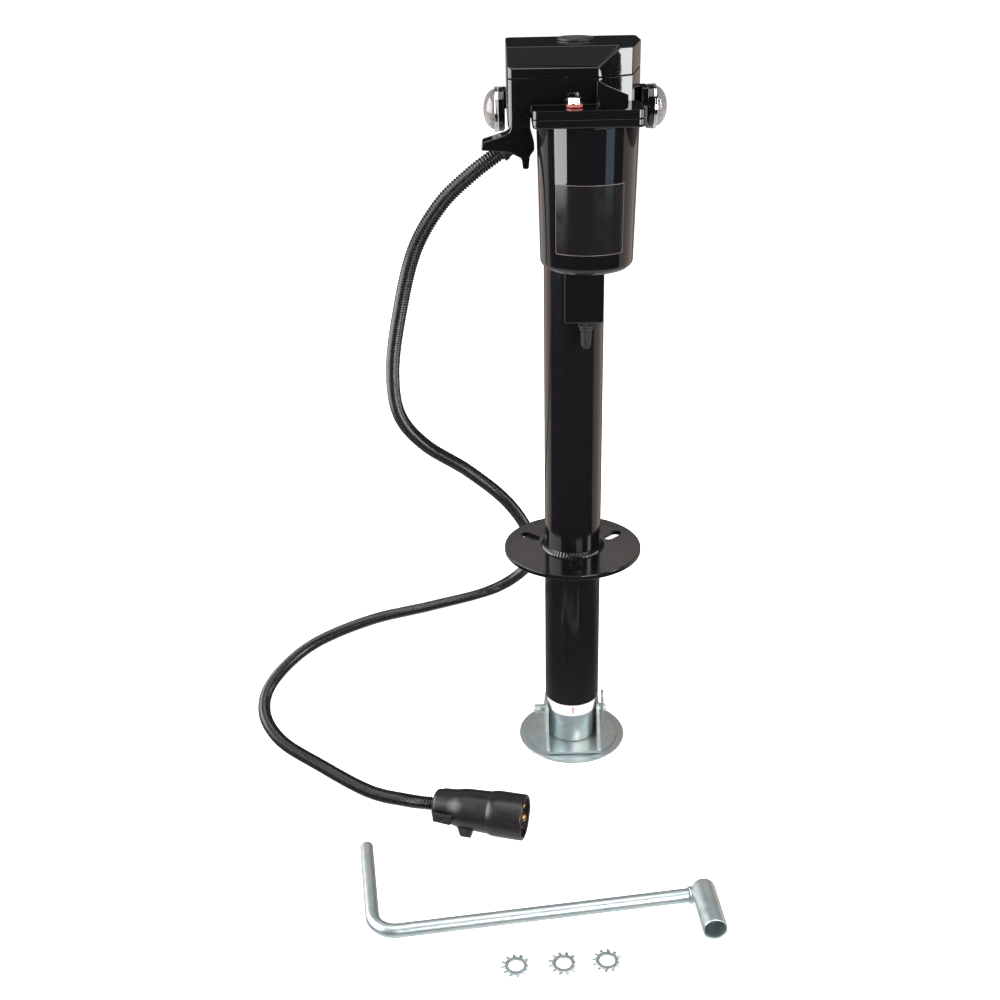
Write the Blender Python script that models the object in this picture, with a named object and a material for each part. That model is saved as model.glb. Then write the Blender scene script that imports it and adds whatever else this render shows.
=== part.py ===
"""Electric trailer tongue jack: leg, powered head, power cord with plug, crank handle and star washers.

Lengths are in millimetres and are scaled to metres when a mesh is made. The origin is on the floor under
the leg's axis, +Z runs up the leg, -Y is the side that carries the motor.
"""
import math

import bmesh
import bpy
from mathutils import Matrix, Vector

for stale in list(bpy.data.objects):
    bpy.data.objects.remove(stale, do_unlink=True)

MM = 0.001
GAP = 0.3
ROUND = 40
SMALL_ROUND = 20

# Leg: 2-1/4 in post with a 2 in ram inside it
LEG_OD = 57.15
LEG_WALL = 2.8
RAM_CLEARANCE = 0.375
RAM_WALL = 3.0
LEG_BOTTOM = 54.4
RAM_LENGTH = 564.0
TRAVEL = 457.0
LEG_R = LEG_OD / 2
LEG_BORE_R = LEG_R - LEG_WALL
RAM_R = LEG_BORE_R - RAM_CLEARANCE

# Mounting flange
FLANGE_TOP = 233.0
FLANGE_THICKNESS = 5.0
FLANGE_R = LEG_R + 41.3
SLOT_RADIUS = LEG_R + 18.6
SLOT_WIDTH = 11.5
SLOT_LENGTH = 24.0
SLOT_ANGLES = (26.0, 154.0, 270.0)
SLOT_TURNS = (45.0, 135.0, 90.0)
WELD_LEG = 5.0

# Foot
PLATE_R = 57.15
PLATE_THICKNESS = 3.0
BRACKET_DEPTH = 88.0
BRACKET_WALL = 3.0
EAR_TOP = 46.0
EAR_TOP_DEPTH = 26.0
PIN_R = 4.75
PIN_Z = 33.0
PIN_LEFT_OVERHANG = 12.5
PIN_RIGHT_OVERHANG = 8.5
PIN_FIT = 0.4
CLIP_WIRE_R = 1.2
LABEL_BOTTOM = 39.5
LABEL_TOP = 54.0
LABEL_SKIN = 0.3

# Motor and gear sizes that the head is built round
COVER_TOP_R = 43.3
COVER_FOOT_R = COVER_TOP_R - 2.9
COVER_WALL = 2.2
COVER_X = 6.0
COVER_Y = -LEG_R - COVER_TOP_R - 6.1
MOTOR_Y = -LEG_R - 44.4
MOTOR_R = 32.0
SHAFT_R = 3.0
PINION_TEETH = 9
IDLER_LARGE_TEETH = 36
IDLER_SMALL_TEETH = 14
SCREW_TEETH = 32
FAST_MODULE = 1.5
SLOW_MODULE = 2.0

# Head
HEAD_BOTTOM = 664.0
HEAD_WALL = 2.5
HEAD_FLOOR = 3.0
SEAM_Z = HEAD_BOTTOM + 38.5
LID_TOP = HEAD_BOTTOM + 61.0
LID_SKIN = 3.0
LID_FRONT_EDGE = LID_TOP - 14.0
HEAD_LEFT = -LEG_R - 32.425
HEAD_FRONT = MOTOR_Y - 12.025
HEAD_BACK = SCREW_TEETH * SLOW_MODULE / 2 + SLOW_MODULE + HEAD_WALL + 1.075
HEAD_RIGHT = LEG_R + 28.4
FRONT_CORNER_X = HEAD_RIGHT - 43.0
CHAMFER_END = (HEAD_RIGHT - 14.0, HEAD_FRONT + 13.0)
TAPER_END_Y = -4.0
HEAD_CORNER_R = 5.0
SLOPE_BACK_Y = HEAD_FRONT + 30.0
RAMP_RUN = 18.3
OVERRIDE_HOLE_R = 12.1
CAP_R = 16.0
CAP_TOP = LID_TOP + 2.8
CAP_SKIRT_R = OVERRIDE_HOLE_R - 0.4
CAP_SKIRT_BOTTOM = LID_TOP - 8.0

# Motor adapter ledge
BOLT_X = -6.5
LEDGE_LEFT = COVER_X - COVER_TOP_R - 4.2
LEDGE_RIGHT = COVER_X + COVER_TOP_R + 0.2
LEDGE_FRONT = COVER_Y - COVER_TOP_R - 0.7
LEDGE_BACK = -LEG_R - 4.0
LEDGE_TOP = HEAD_BOTTOM + 18.0
LEDGE_SPLIT = LEDGE_TOP - 6.5
LEDGE_BOTTOM = LEDGE_SPLIT - 7.5

# Motor and its cover
COVER_FOOT_Z = LEDGE_BOTTOM - 119.0
COVER_BOTTOM_Z = COVER_FOOT_Z - 4.0
MOTOR_BOTTOM = COVER_BOTTOM_Z + 17.0
STICKER_BOTTOM = COVER_FOOT_Z + 14.0
STICKER_TOP = STICKER_BOTTOM + 59.0
STICKER_HALF_ANGLE = 43.0

# Gear train
FAST_Z = (LEDGE_TOP - 2.0, LEDGE_TOP + 4.0)
SLOW_Z = (FAST_Z[1] + 1.5, FAST_Z[1] + 10.0)
SPINDLE_R = 4.0
SPINDLE_FIT = 0.06
SPINDLE_TOP = SLOW_Z[1] + 3.0

# Lead screw
SCREW_R = 9.5
SCREW_BOTTOM = 86.0
SCREW_FIT = 0.06
HEX_ACROSS_CORNERS = 18.3
HEX_BOTTOM = SLOW_Z[1] + 1.0
HEX_TOP = CAP_SKIRT_BOTTOM - 1.0
LEG_TOP = HEAD_BOTTOM + 8.0
TOP_PLATE_Z = (LEG_TOP - 12.0, LEG_TOP - 4.0)
BEARING_TOP = TOP_PLATE_Z[1] + 7.0
HUB_R = 14.0
NUT_HEIGHT = 20.0

# Switch
SWITCH_X = (-12.0, 23.5)
SWITCH_FRONT = -LEG_R - 33.4
SWITCH_BACK = -LEG_R - 3.4
SWITCH_BOTTOM = COVER_BOTTOM_Z - 58.0
TOGGLE_X = 8.5
TOGGLE_Y = -LEG_R - 18.4
TOGGLE_PIVOT = SWITCH_BOTTOM - 1.0
BOOT_TIP = SWITCH_BOTTOM - 28.5

# Side lights
LIGHT_Z = HEAD_BOTTOM + 4.0
LIGHT_R = 19.0
LIGHT_FACE_X = 8.0 - HEAD_LEFT
BEZEL_DEPTH = 2.7
LENS_R = LIGHT_R - 1.7
LENS_HEIGHT = 10.6
LENS_WALL = 1.2

# Loom, gland and plug
CORD_R = 7.0
CORD_STEP = 22.0
CORD_ROUTE = (
    (-68, -40, 637),
    (-94, -40, 618),
    (-122, -36, 591),
    (-147, -28, 549),
    (-164, -12, 489),
    (-176, 12, 422),
    (-174, 38, 365),
    (-151, 66, 320),
    (-108, 100, 275),
    (-68, 138, 222),
    (-43, 180, 165),
    (-33, 228, 108),
    (-50, 272, 57),
    (-92, 294, 20),
    (-167, 280, 7.4),
    (-243, 246, 7.4),
    (-309, 188, 7.4),
    (-344, 112, 7.4),
    (-346, 46, 7.4),
    (-319, -13, 7.4),
    (-269, -62, 8),
    (-214, -115, 14),
    (-174, -141.4, 22),
    (-145, -149.4, 23),
)
GLAND_R = 9.5
GLAND_LENGTH = 13.0
PLUG_DIRECTION = (0.965, -0.262, 0.0)
PLUG_LENGTH = 93.0
PLUG_R = 22.3
CENTRE_PIN_R = 3.9

# Crank handle and washers on the floor
CRANK_ROD_R = 6.35
CRANK_TIP = (-210.0, -190.0)
CRANK_CORNER = (-193.5, -309.0)
CRANK_END = (93.0, -268.0)
CRANK_BEND_R = 22.0
SOCKET_R = 11.1
SOCKET_BORE_R = 9.5
SOCKET_START = (104.8, -262.0)
SOCKET_END = (108.0, -318.0)
WASHER_PLACES = ((-68.0, -345.5), (-26.8, -343.8), (11.0, -341.5))
WASHER_R = 13.2
WASHER_ROOT_R = 10.4
WASHER_BORE_R = 6.6
WASHER_THICKNESS = 1.3
WASHER_TEETH = 12


def collection(name):
    group = bpy.data.collections.new(name)
    bpy.context.scene.collection.children.link(group)
    return group


PARTS = collection("trailer_tongue_jack")
CUTTERS = collection("cutters")


def material(name, colour, metallic, roughness):
    slot = bpy.data.materials.new(name)
    slot.use_nodes = True
    shader = slot.node_tree.nodes["Principled BSDF"]
    shader.inputs["Base Color"].default_value = (*colour, 1.0)
    shader.inputs["Metallic"].default_value = metallic
    shader.inputs["Roughness"].default_value = roughness
    return slot


GLOSS_BLACK = ((0.010, 0.010, 0.012), 0.0, 0.18)
BLACK_PAINT = ((0.012, 0.012, 0.014), 0.0, 0.25)
RUBBER = ((0.020, 0.020, 0.021), 0.0, 0.65)
ZINC = ((0.62, 0.68, 0.70), 1.0, 0.30)
STEEL = ((0.42, 0.42, 0.43), 1.0, 0.40)
BRASS = ((0.66, 0.46, 0.20), 1.0, 0.30)
CHROME = ((0.85, 0.85, 0.86), 1.0, 0.08)
CLEAR = ((0.80, 0.82, 0.83), 0.0, 0.05)
WHITE = ((0.82, 0.82, 0.82), 0.0, 0.50)
RED = ((0.55, 0.05, 0.03), 0.0, 0.50)


def publish(name, bm, look, place=None):
    """Store a mesh as a part, or as a cutter when it has no look."""
    bmesh.ops.recalc_face_normals(bm, faces=bm.faces)
    if place is not None:
        bmesh.ops.transform(bm, matrix=place, verts=bm.verts)
    bmesh.ops.scale(bm, vec=(MM, MM, MM), verts=bm.verts)
    mesh = bpy.data.meshes.new(name)
    bm.to_mesh(mesh)
    bm.free()
    piece = bpy.data.objects.new(name, mesh)
    if look is None:
        CUTTERS.objects.link(piece)
        piece.hide_render = True
        piece.display_type = "WIRE"
    else:
        PARTS.objects.link(piece)
        mesh.materials.append(material(name, *look))
    return piece


def lathe(name, profile, look, place=None, steps=ROUND):
    """Turn a closed (radius, height) outline about Z."""
    bm = bmesh.new()
    rings = []
    for radius, height in profile:
        if radius == 0:
            rings.append([bm.verts.new((0.0, 0.0, height))] * steps)
            continue
        ring = []
        for step in range(steps):
            turn = 2 * math.pi * step / steps
            ring.append(bm.verts.new((radius * math.cos(turn), radius * math.sin(turn), height)))
        rings.append(ring)
    for lower, upper in zip(rings, rings[1:] + rings[:1]):
        for step in range(steps):
            after = (step + 1) % steps
            corners = []
            for vert in (lower[step], lower[after], upper[after], upper[step]):
                if vert not in corners:
                    corners.append(vert)
            if len(corners) > 2:
                bm.faces.new(corners)
    return publish(name, bm, look, place)


def prism(name, loop, low, high, look, place=None):
    """Extrude a plan outline between two heights."""
    bm = bmesh.new()
    bottom = [bm.verts.new((x, y, low)) for x, y in loop]
    top = [bm.verts.new((x, y, high)) for x, y in loop]
    bm.faces.new(bottom[::-1])
    bm.faces.new(top)
    for index in range(len(loop)):
        after = (index + 1) % len(loop)
        bm.faces.new((bottom[index], bottom[after], top[after], top[index]))
    return publish(name, bm, look, place)


def hull(name, points, look):
    """The convex solid through a few corner points."""
    bm = bmesh.new()
    for point in points:
        bm.verts.new(point)
    bmesh.ops.convex_hull(bm, input=bm.verts)
    return publish(name, bm, look)


def box(name, low, high, look):
    loop = ((low[0], low[1]), (high[0], low[1]), (high[0], high[1]), (low[0], high[1]))
    return prism(name, loop, low[2], high[2], look)


def rod(name, radius, low, high, look, place=None, steps=ROUND):
    return lathe(name, ((0, low), (radius, low), (radius, high), (0, high)), look, place, steps)


def tube(name, bore, radius, low, high, look, place=None, steps=ROUND):
    profile = ((bore, low), (radius, low), (radius, high), (bore, high))
    return lathe(name, profile, look, place, steps)


def at(x, y, z=0.0):
    return Matrix.Translation((x, y, z))


def facing(origin, direction):
    """A frame whose Z runs along a direction from an origin."""
    turn = Vector(direction).to_track_quat("Z", "Y").to_matrix().to_4x4()
    return Matrix.Translation(origin) @ turn


def rounded(corners, radius, steps=3):
    """Round each corner of a plan outline."""
    loop = []
    for index, corner in enumerate(corners):
        here = Vector(corner)
        before = (Vector(corners[index - 1]) - here).normalized()
        after = (Vector(corners[(index + 1) % len(corners)]) - here).normalized()
        half = before.angle(after) / 2
        reach = radius / math.tan(half)
        centre = here + (before + after).normalized() * radius / math.sin(half)
        start = here + before * reach - centre
        end = here + after * reach - centre
        sweep = start.angle_signed(end)
        for step in range(steps + 1):
            turned = start.copy()
            turned.rotate(Matrix.Rotation(-sweep * step / steps, 2))
            loop.append(tuple(centre + turned))
    return loop


def ring(radius, steps, centre=(0.0, 0.0), start=0.0):
    loop = []
    for step in range(steps):
        turn = start + 2 * math.pi * step / steps
        loop.append((centre[0] + radius * math.cos(turn), centre[1] + radius * math.sin(turn)))
    return loop


def apply_tool(piece, tool, operation="DIFFERENCE"):
    step = piece.modifiers.new(tool.name, "BOOLEAN")
    step.operation = operation
    step.solver = "EXACT"
    step.object = tool
    return piece


def smooth_route(points, spacing):
    """Even steps along a smooth curve through the points."""
    path = [Vector(point) for point in points]
    path = [path[0] * 2 - path[1]] + path + [path[-1] * 2 - path[-2]]
    fine = []
    for index in range(1, len(path) - 2):
        a, b, c, d = path[index - 1:index + 3]
        for step in range(40):
            t = step / 40
            fine.append(0.5 * (2 * b + (c - a) * t + (2 * a - 5 * b + 4 * c - d) * t ** 2
                               + (3 * b - a - 3 * c + d) * t ** 3))
    fine.append(path[-2])
    length = sum((after - before).length for before, after in zip(fine, fine[1:]))
    count = max(2, round(length / spacing))
    even = [fine[0]]
    covered = 0.0
    for before, after in zip(fine, fine[1:]):
        covered += (after - before).length
        if covered >= length * len(even) / count and len(even) < count:
            even.append(after)
    even.append(fine[-1])
    return even


def wire(name, points, radius, look, resolution=2):
    """A round bar along a path of points."""
    curve = bpy.data.curves.new(name, "CURVE")
    curve.dimensions = "3D"
    curve.bevel_depth = radius * MM
    curve.bevel_resolution = resolution
    curve.use_fill_caps = True
    spline = curve.splines.new("POLY")
    spline.points.add(len(points) - 1)
    for target, point in zip(spline.points, points):
        target.co = (*(Vector(point) * MM), 1.0)
    curve.materials.append(material(name, *look))
    piece = bpy.data.objects.new(name, curve)
    PARTS.objects.link(piece)
    return piece


def gear_loop(teeth, module, centre, tooth_at):
    """Plan outline of a spur gear with 20 degree involute flanks and one tooth centred at an angle."""
    pitch_r = teeth * module / 2
    base_r = pitch_r * math.cos(math.radians(20))
    root_r = pitch_r - 1.2 * module
    tip_r = pitch_r + 0.85 * module
    involute_pitch = math.tan(math.radians(20)) - math.radians(20)

    def half_angle(radius):
        pressure = math.acos(min(1.0, base_r / radius))
        return 0.22 * 2 * math.pi / teeth + involute_pitch - (math.tan(pressure) - pressure)

    flank = [max(root_r, base_r) + (tip_r - max(root_r, base_r)) * step / 2 for step in range(3)]
    loop = []
    for tooth in range(teeth):
        middle = tooth_at + 2 * math.pi * tooth / teeth
        outline = [(root_r, -half_angle(flank[0]) * 1.05)]
        outline += [(radius, -half_angle(radius)) for radius in flank]
        outline += [(radius, half_angle(radius)) for radius in reversed(flank)]
        outline.append((root_r, half_angle(flank[0]) * 1.05))
        for radius, offset in outline:
            turn = middle + offset
            loop.append((centre[0] + radius * math.cos(turn), centre[1] + radius * math.sin(turn)))
    return loop


# Foot ------------------------------------------------------------------------------------------------
lathe("foot_plate",
      ((0, 0), (PLATE_R - 1, 0), (PLATE_R, 0.8), (PLATE_R, PLATE_THICKNESS - 0.8),
       (PLATE_R - 1, PLATE_THICKNESS), (0, PLATE_THICKNESS)), ZINC)

ear_inner = RAM_R + 0.6
ear_outer = ear_inner + BRACKET_WALL
bracket_bottom = PLATE_THICKNESS + GAP
bracket_floor = bracket_bottom + BRACKET_WALL
side_view = ((-BRACKET_DEPTH / 2, bracket_bottom), (BRACKET_DEPTH / 2, bracket_bottom),
             (BRACKET_DEPTH / 2, bracket_floor + 2), (EAR_TOP_DEPTH / 2 + 4, EAR_TOP - 8),
             (EAR_TOP_DEPTH / 2, EAR_TOP - 2), (EAR_TOP_DEPTH / 2 - 4, EAR_TOP),
             (4 - EAR_TOP_DEPTH / 2, EAR_TOP), (-EAR_TOP_DEPTH / 2, EAR_TOP - 2),
             (-EAR_TOP_DEPTH / 2 - 4, EAR_TOP - 8), (-BRACKET_DEPTH / 2, bracket_floor + 2))
lie_on_x = Matrix(((0, 0, 1, 0), (1, 0, 0, 0), (0, 1, 0, 0), (0, 0, 0, 1)))
foot_bracket = prism("foot_bracket", side_view, -ear_outer, ear_outer, ZINC, lie_on_x)
apply_tool(foot_bracket, box("bracket_mouth", (-ear_inner, -BRACKET_DEPTH, bracket_floor),
                             (ear_inner, BRACKET_DEPTH, EAR_TOP + 10), None))
pin_line = facing((0, 0, PIN_Z), (1, 0, 0))
pin_hole = rod("pin_hole", PIN_R + PIN_FIT, -2 * LEG_R, 2 * LEG_R, None, pin_line, SMALL_ROUND)
apply_tool(foot_bracket, pin_hole)

pin_left = -ear_outer - PIN_LEFT_OVERHANG
pin_right = ear_outer + PIN_RIGHT_OVERHANG
foot_pin = lathe("foot_pin",
                 ((0, pin_left), (PIN_R - 0.8, pin_left), (PIN_R, pin_left + 0.8), (PIN_R, pin_right - 1.2),
                  (PIN_R - 1.2, pin_right), (0, pin_right)), ZINC, pin_line, SMALL_ROUND)
clip_x = ear_outer + PIN_RIGHT_OVERHANG / 2
apply_tool(foot_pin, rod("clip_hole", CLIP_WIRE_R + 0.4, 0, 2 * PIN_Z, None, at(clip_x, 0), 12))
clip_shape = ((0, 17), (0, 26), (0, 35), (0, 42), (1.6, 46), (3.4, 49), (3.0, 52.5), (0.2, 54.6), (-3.4, 54.4),
              (-6.4, 51.8), (-7.6, 47.5), (-7.0, 43), (-6.7, 38), (-6.6, 33), (-6.6, 28), (-6.7, 24), (-7.6, 19.5))
wire("pin_clip", [(clip_x, y, z + PIN_Z - 33) for y, z in clip_shape], CLIP_WIRE_R, ZINC, 2)

# Ram --------------------------------------------------------------------------------------------------
ram_bottom = bracket_floor + GAP
ram_top = ram_bottom + RAM_LENGTH
ram_bore = RAM_R - RAM_WALL
inner_tube = lathe("inner_tube",
                   ((ram_bore, ram_bottom), (RAM_R - 1.5, ram_bottom), (RAM_R, ram_bottom + 1.5), (RAM_R, ram_top),
                    (ram_bore, ram_top)), ZINC)
apply_tool(inner_tube, pin_hole)
tube("leg_label", RAM_R + 0.05, RAM_R + 0.05 + LABEL_SKIN, LABEL_BOTTOM, LABEL_TOP, WHITE)
tube("lead_nut", SCREW_R + SCREW_FIT, ram_bore - GAP, ram_top - NUT_HEIGHT, ram_top - GAP, BRASS)

# Leg --------------------------------------------------------------------------------------------------
tube("outer_tube", LEG_BORE_R, LEG_R, LEG_BOTTOM, LEG_TOP, BLACK_PAINT)
mounting_flange = tube("mounting_flange", LEG_R + GAP, FLANGE_R, FLANGE_TOP - FLANGE_THICKNESS, FLANGE_TOP,
                       BLACK_PAINT, None, 48)
for number, (angle, turn) in enumerate(zip(SLOT_ANGLES, SLOT_TURNS)):
    half = (SLOT_LENGTH - SLOT_WIDTH) / 2
    slot_loop = []
    for end in (-1, 1):
        for step in range(9):
            bend = math.radians(-90 + 180 * step / 8)
            slot_loop.append((end * (half + SLOT_WIDTH / 2 * math.cos(bend)), SLOT_WIDTH / 2 * math.sin(bend)))
    centre = (SLOT_RADIUS * math.cos(math.radians(angle)), SLOT_RADIUS * math.sin(math.radians(angle)))
    place = at(*centre) @ Matrix.Rotation(math.radians(turn), 4, "Z")
    slot_heights = (FLANGE_TOP - 2 * FLANGE_THICKNESS, FLANGE_TOP + FLANGE_THICKNESS)
    slot = hull(f"slot_{number}", [place @ Vector((x, y, z)) for x, y in slot_loop for z in slot_heights], None)
    apply_tool(mounting_flange, slot)
lathe("flange_weld", ((LEG_R + GAP, FLANGE_TOP + GAP), (LEG_R + WELD_LEG, FLANGE_TOP + GAP),
                      (LEG_R + WELD_LEG * 0.45, FLANGE_TOP + GAP + WELD_LEG * 0.45),
                      (LEG_R + GAP, FLANGE_TOP + GAP + WELD_LEG)), BLACK_PAINT)
tube("top_plate", SCREW_R + SCREW_FIT, LEG_BORE_R - GAP, *TOP_PLATE_Z, STEEL)
tube("thrust_bearing", SCREW_R + GAP, LEG_R - 8, TOP_PLATE_Z[1] + GAP, BEARING_TOP, STEEL)

# Head -------------------------------------------------------------------------------------------------
head_plan = ((HEAD_LEFT, HEAD_FRONT), (FRONT_CORNER_X, HEAD_FRONT), CHAMFER_END, (HEAD_RIGHT, TAPER_END_Y),
             (HEAD_RIGHT, HEAD_BACK), (HEAD_LEFT, HEAD_BACK))
head_loop = rounded(head_plan, HEAD_CORNER_R)
inner_plan = ((HEAD_LEFT + HEAD_WALL, HEAD_FRONT + HEAD_WALL), (FRONT_CORNER_X - 0.6, HEAD_FRONT + HEAD_WALL),
              (CHAMFER_END[0] - HEAD_WALL, CHAMFER_END[1] + 1.9), (HEAD_RIGHT - HEAD_WALL, TAPER_END_Y),
              (HEAD_RIGHT - HEAD_WALL, HEAD_BACK - HEAD_WALL), (HEAD_LEFT + HEAD_WALL, HEAD_BACK - HEAD_WALL))
gear_case = prism("gear_case", head_loop, HEAD_BOTTOM, SEAM_Z - GAP / 2, GLOSS_BLACK)
ledge_loop = rounded(((LEDGE_LEFT, LEDGE_FRONT), (LEDGE_RIGHT, LEDGE_FRONT), (LEDGE_RIGHT, HEAD_FRONT + 18),
                      (LEDGE_LEFT, HEAD_FRONT + 18)), 5.0)
apply_tool(gear_case, prism("ledge_tool", ledge_loop, LEDGE_SPLIT - 1, LEDGE_TOP, None), "UNION")
gusset_foot = LEDGE_TOP - 2
gusset = ((FRONT_CORNER_X + 1, HEAD_FRONT - 0.5, SEAM_Z - 2.5), (FRONT_CORNER_X, HEAD_FRONT + 5, SEAM_Z - 3.5),
          (FRONT_CORNER_X + 2, HEAD_FRONT - 12, gusset_foot), (FRONT_CORNER_X - 2, HEAD_FRONT + 5, gusset_foot),
          (CHAMFER_END[0] - 3, CHAMFER_END[1] - 6, gusset_foot),
          (CHAMFER_END[0] - 6, CHAMFER_END[1] + 2, gusset_foot))
apply_tool(gear_case, hull("gusset_tool", gusset, None), "UNION")
apply_tool(gear_case, box("motor_bay", (LEDGE_LEFT - 0.7, 2 * LEDGE_FRONT, COVER_FOOT_Z),
                          (2 * HEAD_RIGHT, LEDGE_BACK + 1.5, LEDGE_SPLIT), None))
apply_tool(gear_case, prism("case_pocket", inner_plan, LEDGE_SPLIT + HEAD_FLOOR, LID_TOP, None))
apply_tool(gear_case, box("case_well", (HEAD_LEFT + HEAD_WALL, LEDGE_BACK + 4, HEAD_BOTTOM + HEAD_FLOOR),
                          (HEAD_RIGHT - 10, HEAD_BACK - HEAD_WALL, LID_TOP), None))
apply_tool(gear_case, rod("leg_hole", LEG_R + GAP, HEAD_BOTTOM - 5, HEAD_BOTTOM + 10, None))
apply_tool(gear_case, rod("shaft_hole", SHAFT_R + 0.6, LEDGE_SPLIT - 5, LEDGE_TOP, None, at(COVER_X, MOTOR_Y)))

head_lid = prism("head_lid", head_loop, SEAM_Z + GAP / 2, LID_TOP, GLOSS_BLACK)
ramp_x = FRONT_CORNER_X + RAMP_RUN
above = LID_TOP + 20
rise = (LID_TOP - LID_FRONT_EDGE) / (SLOPE_BACK_Y - HEAD_FRONT)
front_out = HEAD_FRONT - 20
front_z = LID_FRONT_EDGE - 20 * rise
ramp = (LID_TOP - LID_FRONT_EDGE) / RAMP_RUN
valley_x = FRONT_CORNER_X - 20 * rise / ramp
apply_tool(head_lid, hull("slope_tool", ((2 * HEAD_LEFT, front_out, front_z), (valley_x, front_out, front_z),
                                         (ramp_x, SLOPE_BACK_Y, LID_TOP), (2 * HEAD_LEFT, SLOPE_BACK_Y, LID_TOP),
                                         (ramp_x, front_out, LID_TOP), (ramp_x + 20 / ramp, front_out, above),
                                         (ramp_x + 20 / ramp, SLOPE_BACK_Y + 20 / rise, above),
                                         (2 * HEAD_LEFT, SLOPE_BACK_Y + 20 / rise, above),
                                         (2 * HEAD_LEFT, front_out, above)), None))
apply_tool(head_lid, prism("lid_rim_pocket", inner_plan, SEAM_Z - 5, LID_FRONT_EDGE - LID_SKIN, None))
apply_tool(head_lid, box("lid_pocket", (HEAD_LEFT + LID_SKIN, SLOPE_BACK_Y + 5, SEAM_Z - 5),
                         (HEAD_RIGHT - 16, HEAD_BACK - HEAD_WALL, LID_TOP - LID_SKIN), None))
apply_tool(head_lid, rod("override_hole", OVERRIDE_HOLE_R, SEAM_Z, LID_TOP + 5, None))
lathe("override_cap", ((0, CAP_TOP), (CAP_R - 1.2, CAP_TOP), (CAP_R, CAP_TOP - 0.9), (CAP_R, LID_TOP + GAP),
                       (CAP_SKIRT_R, LID_TOP + GAP), (CAP_SKIRT_R, CAP_SKIRT_BOTTOM),
                       (CAP_SKIRT_R - 1.4, CAP_SKIRT_BOTTOM), (CAP_SKIRT_R - 1.4, LID_TOP),
                       (0, LID_TOP)), RUBBER)

# Gear train -------------------------------------------------------------------------------------------
pinion_at = Vector((COVER_X, MOTOR_Y))
fast_reach = (PINION_TEETH + IDLER_LARGE_TEETH) * FAST_MODULE / 2
slow_reach = (IDLER_SMALL_TEETH + SCREW_TEETH) * SLOW_MODULE / 2
span = pinion_at.length
along = (slow_reach ** 2 - fast_reach ** 2 + span ** 2) / (2 * span)
aside = math.sqrt(slow_reach ** 2 - along ** 2)
forward = pinion_at.normalized()
idler_at = forward * along + Vector((forward.y, -forward.x)) * aside
to_idler = math.atan2(*(idler_at - pinion_at).yx)
to_pinion = to_idler + math.pi
screw_to_idler = math.atan2(idler_at.y, idler_at.x)
idler_to_screw = screw_to_idler + math.pi

screw_gear = prism("screw_gear", gear_loop(SCREW_TEETH, SLOW_MODULE, (0, 0), screw_to_idler + math.pi / SCREW_TEETH),
                   *SLOW_Z, STEEL)
apply_tool(screw_gear, rod("gear_hub", HUB_R, BEARING_TOP + GAP, SLOW_Z[0] + 2, None), "UNION")
apply_tool(screw_gear, rod("gear_bore", SCREW_R + GAP, BEARING_TOP - 5, SLOW_Z[1] + 5, None))
idler_gear = prism("idler_gear", gear_loop(IDLER_LARGE_TEETH, FAST_MODULE, idler_at,
                                           to_pinion + math.pi / IDLER_LARGE_TEETH), *FAST_Z, STEEL)
small_gear = prism("idler_small_tool", gear_loop(IDLER_SMALL_TEETH, SLOW_MODULE, idler_at, idler_to_screw),
                   FAST_Z[1] - 1, SLOW_Z[1], None)
apply_tool(idler_gear, small_gear, "UNION")
apply_tool(idler_gear, rod("idler_bore", SPINDLE_R + SPINDLE_FIT, FAST_Z[0] - 5, SLOW_Z[1] + 5, None, at(*idler_at)))
rod("idler_spindle", SPINDLE_R, LEDGE_SPLIT + HEAD_FLOOR + GAP, SPINDLE_TOP, STEEL, at(*idler_at), ROUND)
motor_pinion = prism("motor_pinion", gear_loop(PINION_TEETH, FAST_MODULE, (COVER_X, MOTOR_Y), to_idler),
                     *FAST_Z, STEEL)
motor_top = LEDGE_BOTTOM - 1
apply_tool(motor_pinion, rod("shaft_tool", SHAFT_R, motor_top + GAP, FAST_Z[0] + 1, None, at(COVER_X, MOTOR_Y)), "UNION")
lead_screw = rod("lead_screw", SCREW_R, SCREW_BOTTOM, HEX_BOTTOM, STEEL)
apply_tool(lead_screw, prism("hex_tool", ring(HEX_ACROSS_CORNERS / 2, 6), HEX_BOTTOM - 1, HEX_TOP, None), "UNION")

# Motor, its cover and the switch --------------------------------------------------------------------------
motor_flange = prism("motor_flange", rounded(((LEDGE_LEFT, LEDGE_FRONT), (LEDGE_RIGHT, LEDGE_FRONT),
                                              (LEDGE_RIGHT, LEDGE_BACK), (LEDGE_LEFT, LEDGE_BACK)), 5.0),
                     LEDGE_BOTTOM, LEDGE_SPLIT - GAP, GLOSS_BLACK)
apply_tool(motor_flange, rod("boss_hole", SHAFT_R + 5, LEDGE_BOTTOM - 5, LEDGE_SPLIT + 5, None, at(COVER_X, MOTOR_Y)))
rod("motor_can", MOTOR_R, MOTOR_BOTTOM, motor_top, STEEL, at(COVER_X, MOTOR_Y))
cover_top = LEDGE_BOTTOM - GAP
cover_axis = at(COVER_X, COVER_Y)
lathe("motor_cover",
      ((0, COVER_BOTTOM_Z), (COVER_FOOT_R - 5, COVER_BOTTOM_Z), (COVER_FOOT_R - 1.5, COVER_BOTTOM_Z + 1),
       (COVER_FOOT_R, COVER_FOOT_Z), (COVER_TOP_R, cover_top), (COVER_TOP_R - COVER_WALL, cover_top),
       (COVER_FOOT_R - COVER_WALL, COVER_FOOT_Z + 1), (COVER_FOOT_R - COVER_WALL - 2, COVER_BOTTOM_Z + COVER_WALL),
       (0, COVER_BOTTOM_Z + COVER_WALL)), GLOSS_BLACK, cover_axis, 48)


def cover_radius(z):
    return COVER_FOOT_R + (COVER_TOP_R - COVER_FOOT_R) * (z - COVER_FOOT_Z) / (cover_top - COVER_FOOT_Z)


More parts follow.
